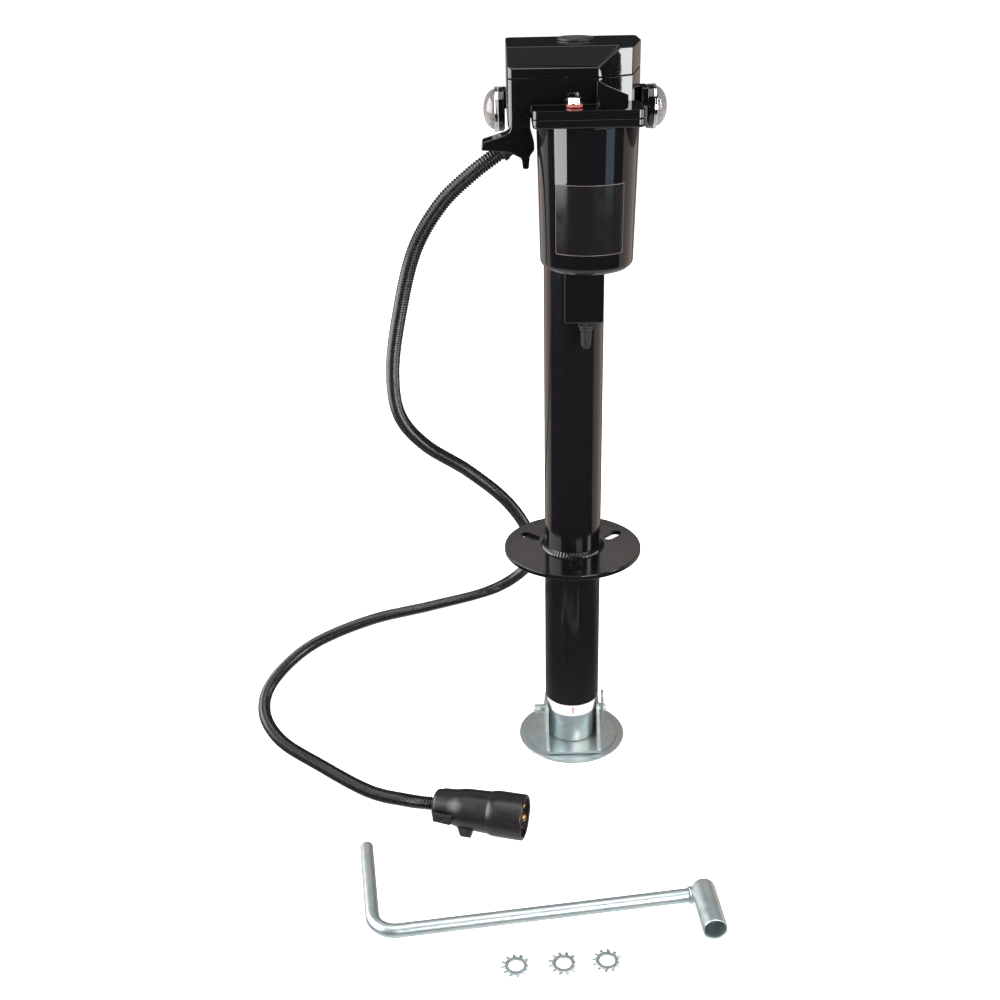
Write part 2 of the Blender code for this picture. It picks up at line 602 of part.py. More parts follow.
sticker = bmesh.new()
columns = []
for step in range(13):
    turn = math.radians(-90 - STICKER_HALF_ANGLE + 2 * STICKER_HALF_ANGLE * step / 12)
    column = []
    for z, lift in ((STICKER_BOTTOM, 0.3), (STICKER_BOTTOM, 0.6), (STICKER_TOP, 0.6), (STICKER_TOP, 0.3)):
        reach = cover_radius(z) + lift
        column.append(sticker.verts.new((reach * math.cos(turn), reach * math.sin(turn), z)))
    columns.append(column)
sticker.faces.new(columns[0])
sticker.faces.new(columns[-1][::-1])
for left, right in zip(columns, columns[1:]):
    for index in range(4):
        after = (index + 1) % 4
        sticker.faces.new((left[index], left[after], right[after], right[index]))
publish("cover_sticker", sticker, GLOSS_BLACK, cover_axis)

switch_top = COVER_BOTTOM_Z - GAP
prism("switch_box", rounded(((SWITCH_X[0], SWITCH_FRONT), (SWITCH_X[1], SWITCH_FRONT), (SWITCH_X[1], SWITCH_BACK),
                             (SWITCH_X[0], SWITCH_BACK)), 2.0), SWITCH_BOTTOM, switch_top, GLOSS_BLACK)
toggle_line = at(TOGGLE_X, TOGGLE_Y)
tube("boot_nut", 7.5, 11.0, SWITCH_BOTTOM - 2.8, SWITCH_BOTTOM - GAP, RUBBER, toggle_line, 6 * 4)
lathe("switch_boot", ((3.0, TOGGLE_PIVOT - 4.2), (7.0, TOGGLE_PIVOT - 3.8), (7.4, TOGGLE_PIVOT - 5.4),
                      (5.6, TOGGLE_PIVOT - 9.5), (4.6, TOGGLE_PIVOT - 13), (4.5, BOOT_TIP + 3),
                      (3.2, BOOT_TIP + 0.7), (0, BOOT_TIP), (0, BOOT_TIP + 3.2), (3.0, BOOT_TIP + 4.4)), RUBBER,
      toggle_line, SMALL_ROUND)
rod("toggle_lever", 2.6, BOOT_TIP + 5.5, TOGGLE_PIVOT, CHROME, toggle_line, SMALL_ROUND)

# Side lights ------------------------------------------------------------------------------------------------
for side, wall_x in ((-1, -HEAD_LEFT), (1, HEAD_RIGHT)):
    name = "left" if side < 0 else "right"
    light_line = facing((0, 0, LIGHT_Z), (side, 0, 0))
    body = rod(f"{name}_light_body", LIGHT_R, LIGHT_FACE_X - 6, LIGHT_FACE_X - 0.7, GLOSS_BLACK, light_line)
    stem = box(f"{name}_stem_tool", (min(side * (wall_x + GAP), side * (LIGHT_FACE_X - 5)), -LIGHT_R + 3, LIGHT_Z + 2),
               (max(side * (wall_x + GAP), side * (LIGHT_FACE_X - 5)), LIGHT_R - 3, LIGHT_Z + LIGHT_R - 1.5), None)
    apply_tool(body, stem, "UNION")
    tube(f"{name}_light_bezel", LENS_R + 0.2, LIGHT_R + 0.4, LIGHT_FACE_X - 0.4, LIGHT_FACE_X + BEZEL_DEPTH, CHROME,
         light_line)
    dome = [(LENS_R * math.cos(math.radians(a)), LIGHT_FACE_X + 2 + LENS_HEIGHT * math.sin(math.radians(a)))
            for a in (0, 24, 48, 70)]
    core = [((LENS_R - LENS_WALL) * math.cos(math.radians(a)),
             LIGHT_FACE_X + 2 + (LENS_HEIGHT - LENS_WALL) * math.sin(math.radians(a))) for a in (70, 48, 24, 0)]
    base = ((LENS_R - LENS_WALL, LIGHT_FACE_X - 0.2), (LENS_R, LIGHT_FACE_X - 0.2))
    lathe(f"{name}_light_lens", (*base, *dome, (0, LIGHT_FACE_X + 2 + LENS_HEIGHT),
                                 (0, LIGHT_FACE_X + 2 + LENS_HEIGHT - LENS_WALL), *core), CLEAR, light_line, 28)
    lathe(f"{name}_light_reflector", ((0, LIGHT_FACE_X), (LENS_R - 5, LIGHT_FACE_X),
                                      (LENS_R - LENS_WALL - 4 * GAP, LIGHT_FACE_X + 2),
                                      (LENS_R - LENS_WALL - 4 * GAP, LIGHT_FACE_X + 3), (6, LIGHT_FACE_X + 1.2),
                                      (3.2, LIGHT_FACE_X + 4.5), (0, LIGHT_FACE_X + 6)), CHROME, light_line, 24)

# Bolt on the ledge ------------------------------------------------------------------------------------------
bolt_line = at(BOLT_X, HEAD_FRONT - 16)
tube("ledge_washer", 3.2, 6.6, LEDGE_TOP + GAP, LEDGE_TOP + 2.4, RED, bolt_line, 24)
ledge_bolt = prism("ledge_bolt", ring(5.6, 6), LEDGE_TOP + 2.7, LEDGE_TOP + 8.0, CHROME, bolt_line)
apply_tool(ledge_bolt, rod("bolt_shank", 2.8, LEDGE_TOP + GAP, LEDGE_TOP + 3.5, None, bolt_line, 16), "UNION")

# Loom holder, gland, loom and plug ------------------------------------------------------------------------------
cord_path = smooth_route(CORD_ROUTE, CORD_STEP)
cord_start = cord_path[0]
leave = (cord_path[1] - cord_path[0]).normalized()
gland_line = facing(cord_start, -leave)
holder_side = ((-84, HEAD_BOTTOM - 23.5), (-83, HEAD_BOTTOM - 17), (-60, HEAD_BOTTOM - 10), (-56, HEAD_BOTTOM - GAP),
               (-43, HEAD_BOTTOM - GAP), (-38, HEAD_BOTTOM - 18), (-38, HEAD_BOTTOM - 24), (-42, HEAD_BOTTOM - 29),
               (-43, HEAD_BOTTOM - 40), (-48, HEAD_BOTTOM - 40), (-49, HEAD_BOTTOM - 31), (-60, HEAD_BOTTOM - 25.5))
stand_on_y = Matrix(((1, 0, 0, 0), (0, 0, -1, 0), (0, 1, 0, 0), (0, 0, 0, 1)))
loom_holder = prism("loom_holder", holder_side, 28, 52, GLOSS_BLACK, stand_on_y)
apply_tool(loom_holder, rod("gland_seat", GLAND_R + GAP, 0.0, GLAND_LENGTH + 2 * GAP, None, gland_line))
apply_tool(loom_holder, rod("loom_way", CORD_R + 1.2, -40, 2, None, gland_line))
lathe("loom_gland", ((0, GAP), (GLAND_R, GAP), (GLAND_R, GLAND_LENGTH), (0, GLAND_LENGTH)), RUBBER, gland_line, 24)
wire("loom_cord", cord_path, CORD_R, RUBBER, 3)

plug_line = facing(cord_path[-1], PLUG_DIRECTION)
lathe("plug_body",
      ((0, 0.7), (13, 0.7), (15.5, 3), (17, 20), (19.5, 30), (20.5, 58), (PLUG_R - 0.6, 60),
       (PLUG_R, 62), (PLUG_R, PLUG_LENGTH - 1.5), (PLUG_R - 1, PLUG_LENGTH), (PLUG_R - 3, PLUG_LENGTH),
       (PLUG_R - 3.2, PLUG_LENGTH - 22), (0, PLUG_LENGTH - 22)), RUBBER, plug_line, 32)
lathe("plug_face", ((0, PLUG_LENGTH - 21.7), (PLUG_R - 4.0, PLUG_LENGTH - 21.7), (PLUG_R - 4.0, PLUG_LENGTH - 12),
                    (0, PLUG_LENGTH - 12)), RUBBER, plug_line, 32)
rod("plug_centre_pin", CENTRE_PIN_R, PLUG_LENGTH - 11.7, PLUG_LENGTH + 0.5, BRASS, plug_line, 24)
for number in range(6):
    turn = Matrix.Rotation(math.radians(30 + 60 * number), 4, "Z")
    blade = ((9.2, -0.9), (13.6, -0.9), (13.6, 0.9), (9.2, 0.9))
    prism(f"plug_blade_{number + 1}", blade, PLUG_LENGTH - 11.7, PLUG_LENGTH - 3, BRASS, plug_line @ turn)
to_plug = plug_line.to_3x3().transposed()


def in_plug(vector, distance):
    """A point at a distance along the plug, offset by a world vector."""
    offset = to_plug @ Vector(vector)
    return plug_line @ Vector((offset.x, offset.y, distance))


key_out = Vector((-0.186, -0.682, -0.707))
key_side = key_out.cross(Vector(PLUG_DIRECTION)).normalized() * 3.0
hull("plug_key", [in_plug(key_out * reach + key_side * way, spot) for way in (-1, 1)
                  for reach, spot in ((21.0, 26), (21.2, 44), (27.0, 32), (27.0, 42))], RUBBER)
clamp_up = Vector((0, 0, 1))
clamp_side = clamp_up.cross(Vector(PLUG_DIRECTION)).normalized()
for name, way in (("plug_clamp_near", -1), ("plug_clamp_far", 1)):
    hull(name, [in_plug(clamp_up * up + clamp_side * way * out, spot)
                for up in (-5.5, 5.5) for out, spot in ((17.6, 4), (20.5, 4), (19.3, 24), (22.4, 22))], RUBBER)

# Crank handle and washers ---------------------------------------------------------------------------------------
tip = Vector((*CRANK_TIP, CRANK_ROD_R))
corner = Vector((*CRANK_CORNER, CRANK_ROD_R))
end = Vector((*CRANK_END, CRANK_ROD_R))
to_tip = (tip - corner).normalized()
to_end = (end - corner).normalized()
half_bend = to_tip.angle(to_end) / 2
bend_centre = corner + (to_tip + to_end).normalized() * CRANK_BEND_R / math.sin(half_bend)
bend_start = corner + to_tip * CRANK_BEND_R / math.tan(half_bend) - bend_centre
bend_end = corner + to_end * CRANK_BEND_R / math.tan(half_bend) - bend_centre
bend = [bend_centre + bend_start.slerp(bend_end, step / 6).normalized() * CRANK_BEND_R for step in range(7)]
wire("crank_rod", [tip, *bend, end], CRANK_ROD_R, ZINC, 5)
socket_start = Vector((*SOCKET_START, SOCKET_R))
socket_axis = Vector((*SOCKET_END, SOCKET_R)) - socket_start
crank_socket = tube("crank_socket", SOCKET_BORE_R, SOCKET_R, 0, socket_axis.length, ZINC,
                    facing(socket_start, socket_axis), 32)
for number, (x, y) in enumerate(WASHER_PLACES):
    teeth = []
    for tooth in range(WASHER_TEETH):
        for radius, share in ((WASHER_ROOT_R, -0.34), (WASHER_R, -0.2), (WASHER_R, 0.2), (WASHER_ROOT_R, 0.34)):
            turn = 2 * math.pi * (tooth + share) / WASHER_TEETH
            teeth.append((radius * math.cos(turn), radius * math.sin(turn)))
    washer = prism(f"star_washer_{number + 1}", teeth, 0, WASHER_THICKNESS, ZINC, at(x, y))
    apply_tool(washer, rod(f"washer_hole_{number + 1}", WASHER_BORE_R, -5, 5, None, at(x, y), 24))
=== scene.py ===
"""Looks of an electric trailer tongue jack with its loom, plug, crank handle and star washers.

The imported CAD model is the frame. Lengths are metres, +Z runs up the leg and -Y is the motor's side.
"""
import math

import bmesh
import bpy
from mathutils import Matrix, Vector


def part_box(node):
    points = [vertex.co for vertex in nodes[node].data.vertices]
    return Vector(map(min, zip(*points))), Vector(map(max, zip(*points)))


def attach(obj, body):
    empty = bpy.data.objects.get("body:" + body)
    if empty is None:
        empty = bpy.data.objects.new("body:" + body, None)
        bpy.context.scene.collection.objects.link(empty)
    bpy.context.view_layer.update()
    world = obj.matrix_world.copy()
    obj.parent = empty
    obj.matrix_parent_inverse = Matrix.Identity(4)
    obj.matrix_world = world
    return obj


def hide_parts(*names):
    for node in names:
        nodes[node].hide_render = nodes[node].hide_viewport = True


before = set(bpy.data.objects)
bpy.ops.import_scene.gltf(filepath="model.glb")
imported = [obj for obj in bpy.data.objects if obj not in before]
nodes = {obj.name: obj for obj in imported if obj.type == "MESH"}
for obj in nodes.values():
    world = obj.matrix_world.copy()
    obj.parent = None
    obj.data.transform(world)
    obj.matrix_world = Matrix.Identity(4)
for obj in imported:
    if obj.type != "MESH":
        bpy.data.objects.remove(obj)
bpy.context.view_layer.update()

MM = 0.001
TINY = 1e-6


# Workshop moves -----------------------------------------------------------------------------------------
def deselect():
    bpy.ops.object.select_all(action="DESELECT")


def hold(piece):
    """Make a piece the active and only selected object."""
    deselect()
    piece.select_set(True)
    bpy.context.view_layer.objects.active = piece


def edit(piece):
    hold(piece)
    bpy.ops.object.mode_set(mode="EDIT")


def leave():
    bpy.ops.object.mode_set(mode="OBJECT")


def choose(kind, test):
    """In edit mode, select only the vertices, edges or faces that pass a test."""
    bpy.ops.mesh.select_mode(type=kind)
    bpy.ops.mesh.select_all(action="DESELECT")
    mesh = bpy.context.edit_object.data
    bm = bmesh.from_edit_mesh(mesh)
    for part in {"VERT": bm.verts, "EDGE": bm.edges, "FACE": bm.faces}[kind]:
        if test(part):
            part.select_set(True)
    bm.select_flush_mode()
    bmesh.update_edit_mesh(mesh)


def settle(piece, line=None):
    """Put a place into the mesh, so that the object itself sits at the origin."""
    if line is not None:
        piece.matrix_world = line @ piece.matrix_world
    hold(piece)
    bpy.ops.object.transform_apply(location=True, rotation=True, scale=True)
    return piece


def draw(name, outline, flat, closed):
    """Draw a line of (across, along, corner) points by extruding one vertex, then round its corners."""
    def spot(across, along):
        return Vector((across, along, 0)) if flat else Vector((across, 0, along))

    deselect()
    bpy.ops.mesh.primitive_plane_add(size=MM)
    piece = bpy.context.object
    piece.name = name
    bpy.ops.object.mode_set(mode="EDIT")
    bpy.ops.mesh.select_mode(type="VERT")
    bpy.ops.mesh.select_all(action="SELECT")
    bpy.ops.mesh.merge(type="CENTER")
    points = [(spot(*point[:2]), point[2] if len(point) > 2 else 0) for point in outline]
    bpy.ops.transform.translate(value=points[0][0])
    here = points[0][0]
    for place, _ in points[1:]:
        bpy.ops.mesh.extrude_region_move(TRANSFORM_OT_translate={"value": place - here})
        here = place
    if closed:
        ends = (points[0][0], points[-1][0])
        choose("VERT", lambda v: min((v.co - end).length for end in ends) < 1e-7)
        bpy.ops.mesh.edge_face_add()
    for place, corner in points:
        if corner:
            choose("VERT", lambda v: (v.co - place).length < 1e-7)
            bpy.ops.mesh.bevel(offset=corner, segments=5, affect="VERTICES", profile=0.5)
    bpy.ops.mesh.select_all(action="SELECT")
    return piece


def turn(name, outline, line=None, steps=72, closed=False):
    """Spin an outline of (radius, height, corner) points about the line's Z."""
    piece = draw(name, outline, False, closed)
    bpy.ops.mesh.spin(steps=steps, angle=2 * math.pi, center=(0, 0, 0), axis=(0, 0, 1))
    bpy.ops.mesh.select_all(action="SELECT")
    bpy.ops.mesh.remove_doubles(threshold=TINY)
    bpy.ops.mesh.normals_make_consistent(inside=False)
    leave()
    return settle(piece, line)


def slab(name, outline, height, line=None):
    """Fill a closed outline of (x, y, corner) points and pull it up to its thickness."""
    piece = draw(name, outline, True, True)
    bpy.ops.mesh.edge_face_add()
    bpy.ops.mesh.extrude_region_move(TRANSFORM_OT_translate={"value": (0, 0, height)})
    bpy.ops.mesh.select_all(action="SELECT")
    bpy.ops.mesh.normals_make_consistent(inside=False)
    leave()
    return settle(piece, line)


def rectangle(left, bottom, right, top, corner):
    """An outline of four corners, all rounded alike."""
    return tuple((x, y, corner) for x, y in ((left, bottom), (right, bottom), (right, top), (left, top)))


def block(name, low, high):
    """Start a squared block at its size and place."""
    deselect()
    low = Vector(low)
    high = Vector(high)
    bpy.ops.mesh.primitive_cube_add(size=1, location=(low + high) / 2, scale=high - low)
    piece = bpy.context.object
    piece.name = name
    return settle(piece)


def saw(piece, point, normal):
    """Saw off what lies beyond a plane and close the cut."""
    edit(piece)
    bpy.ops.mesh.select_all(action="SELECT")
    bpy.ops.mesh.bisect(plane_co=point, plane_no=normal, use_fill=True, clear_outer=True)
    leave()


def use(piece, kind, **settings):
    """Add a modifier with its settings and apply it."""
    hold(piece)
    step = piece.modifiers.new(kind.title(), kind)
    for name, value in settings.items():
        setattr(step, name, value)
    bpy.ops.object.modifier_apply(modifier=step.name)
    return piece


def soften(piece, width, segments=3, angle=28):
    return use(piece, "BEVEL", width=width, segments=segments, limit_method="ANGLE",
               angle_limit=math.radians(angle), harden_normals=False)


def cut(piece, tool, operation="DIFFERENCE"):
    use(piece, "BOOLEAN", object=tool, operation=operation, solver="EXACT")
    bpy.data.objects.remove(tool)
    return piece


def round_edges(piece, width, segments, test):
    """Bevel only the edges whose two ends pass a test."""
    edit(piece)
    choose("EDGE", lambda edge: test(edge.verts[0].co, edge.verts[1].co))
    bpy.ops.mesh.bevel(offset=width, segments=segments, affect="EDGES")
    leave()


def join(piece, *others):
    hold(piece)
    for other in others:
        other.select_set(True)
    bpy.ops.object.join()
    return piece


def copied(node, name):
    """A copy of a CAD node with its own mesh, its loose triangles merged into clean faces."""
    piece = nodes[node].copy()
    piece.data = piece.data.copy()
    piece.name = name
    bpy.context.scene.collection.objects.link(piece)
    settle(piece)
    edit(piece)
    bpy.ops.mesh.select_all(action="SELECT")
    bpy.ops.mesh.remove_doubles(threshold=TINY)
    bpy.ops.mesh.dissolve_limited(angle_limit=math.radians(2))
    bpy.ops.mesh.select_all(action="SELECT")
    bpy.ops.mesh.normals_make_consistent(inside=False)
    leave()
    return piece


def finish(piece, look, body, node, angle=32):
    """Shade a piece, give it its material, and fix it to its body in place of a CAD node."""
    hold(piece)
    bpy.ops.object.shade_smooth_by_angle(angle=math.radians(angle))
    use(piece, "WEIGHTED_NORMAL", mode="FACE_AREA", weight=50, keep_sharp=True)
    piece.data.materials.clear()
    piece.data.materials.append(look)
    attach(piece, body)
    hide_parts(node)
    return piece


def facing(origin, direction):
    """A frame whose Z runs along a direction from an origin."""
    return Matrix.Translation(origin) @ Vector(direction).to_track_quat("Z", "Y").to_matrix().to_4x4()


def middle(node):
    low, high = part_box(node)
    return (low + high) / 2


def half_width(node):
    """Half of a node's size along X, which is the radius of an upright round one."""
    low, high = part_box(node)
    return (high.x - low.x) / 2


def upright_through(node):
    """A frame on an upright line through the middle of a node."""
    centre = middle(node)
    return Matrix.Translation((centre.x, centre.y, 0))


# Materials ----------------------------------------------------------------------------------------------
def linear(hex_colour):
    """An sRGB hex colour as linear red, green, blue and alpha."""
    channels = [int(hex_colour[i:i + 2], 16) / 255 for i in (1, 3, 5)]
    return (*[c / 12.92 if c <= 0.04045 else ((c + 0.055) / 1.055) ** 2.4 for c in channels], 1.0)


def add(tree, kind, inputs=(), **settings):
    """Add a node, set its properties, and give each input a value or a link from another node's output."""
    step = tree.nodes.new("ShaderNode" + kind)
    for name, value in settings.items():
        setattr(step, name, value)
    for socket, value in inputs:
        if isinstance(value, bpy.types.NodeSocket):
            tree.links.new(value, step.inputs[socket])
        else:
            step.inputs[socket].default_value = value
    return step


def surface(name, colour, roughness, metallic=0.0, slot=None, **fixed):
    """A Principled material with its unvarying values on the shader's own sockets; its slot argument is not
    used.
    """
    look = bpy.data.materials.new(name)
    look.use_nodes = True
    shader = look.node_tree.nodes["Principled BSDF"]
    shader.inputs["Base Color"].default_value = linear(colour)
    shader.inputs["Roughness"].default_value = roughness
    shader.inputs["Metallic"].default_value = metallic
    for socket, value in fixed.items():
        shader.inputs[socket.replace("_", " ")].default_value = value
    return look, look.node_tree, shader


def place_of(tree, scale=(1, 1, 1), turn_by=(0, 0, 0)):
    """Object coordinates through a Mapping node."""
    here = add(tree, "TexCoord")
    return add(tree, "Mapping", [("Vector", here.outputs["Object"]), ("Scale", scale),
                                 ("Rotation", turn_by)]).outputs["Vector"]


def per_mm(size):
    """Noise scale for features of this size in millimetres."""
    return 1 / (size * MM)


def blotches(tree, where, size, low, high, detail=3.0):
    """Soft noise of a real size, spread between two values."""
    noise = add(tree, "TexNoise", [("Vector", where), ("Scale", per_mm(size)), ("Detail", detail)])
    return add(tree, "MapRange", [("Value", noise.outputs["Fac"]), ("From Min", 0.3), ("From Max", 0.7),
                                  ("To Min", low), ("To Max", high)]).outputs["Result"]


def mixed(tree, amount, first, second):
    """A colour between two colours, each a value or a link."""
    return add(tree, "Mix", [(0, amount), (6, first), (7, second)], data_type="RGBA").outputs[2]


def tinted(tree, amount, first, second):
    """A colour between two hex colours."""
    return mixed(tree, amount, linear(first), linear(second))


def mottle(tree, shader, where, size, first, second, high=1):
    """Colour a surface in soft patches between two hex colours."""
    amount = blotches(tree, where, size, 0, high)
    tree.links.new(tinted(tree, amount, first, second), shader.inputs["Base Color"])


def haze(tree, shader, where, size, low, high):
    """Vary a surface's roughness in soft patches."""
    tree.links.new(blotches(tree, where, size, low, high), shader.inputs["Roughness"])


def bumped(tree, shader, height, depth_mm, strength=1.0):
    bump = add(tree, "Bump", [("Height", height), ("Distance", depth_mm * MM), ("Strength", strength)])
    tree.links.new(bump.outputs["Normal"], shader.inputs["Normal"])


def specks(tree, where, spacing, size):
    """Sparse round specks: 1 on a speck and 0 beside it."""
    cells = add(tree, "TexVoronoi", [("Vector", where), ("Scale", per_mm(spacing))])
    return add(tree, "MapRange", [("Value", cells.outputs["Distance"]), ("From Min", size * 1.5),
                                  ("From Max", size * 0.5)]).outputs["Result"]


def dusty(tree, where, colour, dust, spacing=9.0):
    """A plain colour with a few pale dust specks."""
    return tinted(tree, specks(tree, where, spacing, 0.035), colour, dust)


# Injection-moulded ABS: a deep black mirror with a faint ripple from the mould and a little dust
abs_plastic, tree, shader = surface("Glossy moulded ABS", "#0b0b0d", 0.03, slot="gloss_black_plastic",
                                    IOR=1.54)
where = place_of(tree)
tree.links.new(dusty(tree, where, "#0b0b0d", "#2c2c2e"), shader.inputs["Base Color"])
haze(tree, shader, where, 25, 0.012, 0.035)
bumped(tree, shader, blotches(tree, where, 9, 0, 1, 1.0), 0.0025)

# Enamel baked on steel tube: glossy black with the orange peel of sprayed paint and fine rub marks
enamel, tree, shader = surface("Baked enamel on steel", "#0d0d0f", 0.16, slot="black_paint", IOR=1.55)
where = place_of(tree)
rubs = blotches(tree, place_of(tree, (1, 1, 0.12)), 1.5, 0.0, 0.06)
cloud = blotches(tree, where, 35, 0.07, 0.12)
rough = add(tree, "Math", [(0, cloud), (1, rubs)], operation="ADD")
tree.links.new(dusty(tree, where, "#0d0d0f", "#34322f", 14), shader.inputs["Base Color"])
tree.links.new(rough.outputs[0], shader.inputs["Roughness"])
bumped(tree, shader, blotches(tree, where, 1.6, 0, 1, 1.5), 0.008, 0.7)

# Moulded thermoplastic rubber: dull black with a fine matt grain
rubber, tree, shader = surface("Moulded rubber", "#0c0c0d", 0.5, slot="black_rubber", IOR=1.5)
where = place_of(tree)
mottle(tree, shader, where, 6, "#0a0a0b", "#121213")
bumped(tree, shader, blotches(tree, where, 0.5, 0, 1), 0.03, 0.6)

# Moulded nylon: charcoal with a satin bloom, flow marks along the body and a fine grain
nylon, tree, shader = surface("Satin moulded nylon", "#141315", 0.34, slot="black_rubber", IOR=1.5)
where = place_of(tree)
flow = blotches(tree, place_of(tree, (0.15, 1, 1), (0, 0, math.atan2(0.262, 0.965))), 4, 0, 1)
tree.links.new(tinted(tree, flow, "#111011", "#1b1819"), shader.inputs["Base Color"])
haze(tree, shader, where, 9, 0.28, 0.38)
bumped(tree, shader, blotches(tree, where, 0.45, 0, 1), 0.02, 0.7)

# Extruded polyethylene loom: black and slightly waxy, with dust caught between the ribs
polyethylene, tree, shader = surface("Extruded polyethylene", "#121214", 0.26, slot="black_loom", IOR=1.51)
where = place_of(tree)
mottle(tree, shader, where, 5, "#0a0a0b", "#171718", 0.5)
haze(tree, shader, where, 4, 0.2, 0.34)

# Zinc plate with clear chromate: a cool silver with cloudy blue and straw patches and drawn-steel lines
zinc, tree, shader = surface("Zinc plate with clear chromate", "#b9c6ca", 0.36, 0.86, slot="zinc_plate")
where = place_of(tree)
patches = blotches(tree, where, 13, 0, 1, 4.0)
straw = blotches(tree, where, 31, 0, 0.45)
cool = tinted(tree, patches, "#adc0c6", "#c6cfd2")
tree.links.new(mixed(tree, straw, cool, linear("#cfcbbd")), shader.inputs["Base Color"])
haze(tree, shader, where, 6, 0.3, 0.42)
bumped(tree, shader, blotches(tree, where, 1.6, 0, 1, 2.0), 0.006, 0.6)

# Chrome plate: a clear mirror, barely hazed by handling
chrome, tree, shader = surface("Chrome plate", "#dcdddf", 0.06, 1.0, slot="chrome")
haze(tree, shader, place_of(tree), 6, 0.04, 0.12)

# Hobbed and turned steel: grey with cutter lines and an oil haze
steel, tree, shader = surface("Machined steel", "#8b8c8e", 0.36, 1.0)
where = place_of(tree)
mottle(tree, shader, where, 4, "#7d7e80", "#989a9c")
bumped(tree, shader, blotches(tree, place_of(tree, (1, 1, 8)), 2, 0, 1), 0.02, 0.6)

# Turned brass contacts: warm gold, tarnished brown in patches
brass, tree, shader = surface("Turned brass", "#c8935a", 0.26, 1.0, slot="brass")
where = place_of(tree)
mottle(tree, shader, where, 2.5, "#a8713c", "#dcae74")
haze(tree, shader, where, 1.2, 0.2, 0.36)

# Clear polycarbonate: the dome shows the bowl behind it
polycarbonate, tree, shader = surface("Clear polycarbonate", "#8f8b89", 0.16, slot="clear_lens", IOR=1.58,
                                      Transmission_Weight=0.5)
bumped(tree, shader, blotches(tree, place_of(tree), 3, 0, 1, 1.0), 0.008, 0.5)

# Vinyl film: satin white, very slightly yellowed at its edge
vinyl, tree, shader = surface("White vinyl film", "#c9c6c2", 0.4, slot="white_label", IOR=1.5)
where = place_of(tree)
mottle(tree, shader, where, 7, "#c4c0bb", "#cfccc9")
bumped(tree, shader, blotches(tree, where, 4, 0, 1, 1.0), 0.02, 0.5)

# Red screen ink on the vinyl
red_ink, tree, shader = surface("Red screen ink", "#a8202c", 0.45, slot="white_label")
mottle(tree, shader, place_of(tree), 0.6, "#9c1b28", "#b32a34")

# Printed film: charcoal and duller than the cover, with a thin varnish
film, tree, shader = surface("Charcoal printed film", "#110f10", 0.14, slot="sticker_film", IOR=1.46)
where = place_of(tree)
mottle(tree, shader, where, 0.4, "#0f0e0f", "#151314")
haze(tree, shader, where, 12, 0.1, 0.17)

# Cut edge and printed border of the film: a fine grey-brown line
film_edge, tree, shader = surface("Film border ink", "#57504b", 0.4, slot="sticker_film")
mottle(tree, shader, place_of(tree), 3, "#4a4440", "#655c55")

# Vulcanised fibre washer: rose red and slightly fibrous
fibre, tree, shader = surface("Vulcanised fibre", "#b4534a", 0.5, slot="red_fibre")
mottle(tree, shader, place_of(tree, (1, 1, 5)), 0.8, "#a3453e", "#c4665c")

# Painted studio floor: plain and pale
floor_paint, tree, shader = surface("Matt white floor paint", "#f2f2f1", 0.8, Emission_Strength=1.05)
shader.inputs["Emission Color"].default_value = linear("#ffffff")
mottle(tree, shader, place_of(tree), 400, "#f2f2f1", "#f4f4f3")


# Loom: ribbed tube along the same route as the CAD cord -----------------------------------------------------
LOOM_ROUTE = (
    (-0.068, -0.040, 0.637), (-0.094, -0.040, 0.618), (-0.122, -0.036, 0.591), (-0.147, -0.028, 0.549),
    (-0.164, -0.012, 0.489), (-0.176, 0.012, 0.422), (-0.174, 0.038, 0.365), (-0.151, 0.066, 0.320),
    (-0.108, 0.100, 0.275), (-0.068, 0.138, 0.222), (-0.043, 0.180, 0.165), (-0.033, 0.228, 0.108),
    (-0.050, 0.272, 0.057), (-0.092, 0.294, 0.020), (-0.167, 0.280, 0.0074), (-0.243, 0.246, 0.0074),
    (-0.309, 0.188, 0.0074), (-0.344, 0.112, 0.0074), (-0.346, 0.046, 0.0074), (-0.319, -0.013, 0.0074),
    (-0.269, -0.062, 0.008), (-0.214, -0.115, 0.014), (-0.174, -0.1414, 0.022), (-0.145, -0.1494, 0.023),
)
LOOM_R = 7.0 * MM
RIB_PITCH = 2.8 * MM
RIB_DEPTH = 1.0 * MM
RIB_SIDES = 20
RINGS_A_RIB = 4
SLIT_CORNER = 4
SLIT_DEPTH = 1.6 * MM


def smooth_route(points, spacing):
    """Even steps along a smooth curve through the points."""
    path = [Vector(point) for point in points]
    path = [path[0] * 2 - path[1]] + path + [path[-1] * 2 - path[-2]]
    fine = []
    for index in range(1, len(path) - 2):
        a, b, c, d = path[index - 1:index + 3]
        for step in range(120):
            t = step / 120
            fine.append(0.5 * (2 * b + (c - a) * t + (2 * a - 5 * b + 4 * c - d) * t ** 2
                               + (3 * b - a - 3 * c + d) * t ** 3))
    fine.append(path[-2])
    covered = [0.0]
    for before, after in zip(fine, fine[1:]):
        covered.append(covered[-1] + (after - before).length)
    count = round(covered[-1] / spacing)
    even = []
    spot = 0
    for step in range(count + 1):
        goal = covered[-1] * step / count
        while spot < len(fine) - 2 and covered[spot + 1] < goal:
            spot += 1
        share = (goal - covered[spot]) / (covered[spot + 1] - covered[spot])
        even.append(fine[spot].lerp(fine[spot + 1], min(1.0, share)))
    return even, covered[-1]


def carried(path, side):
    """Each point of a path with its direction and two directions across it, carried along without a twist."""
    for number, spot in enumerate(path):
        before = path[max(0, number - 1)]
        after = path[min(len(path) - 1, number + 1)]
        along = (after - before).normalized()
        side = (side - along * side.dot(along)).normalized()
        yield spot, along, side, along.cross(side)


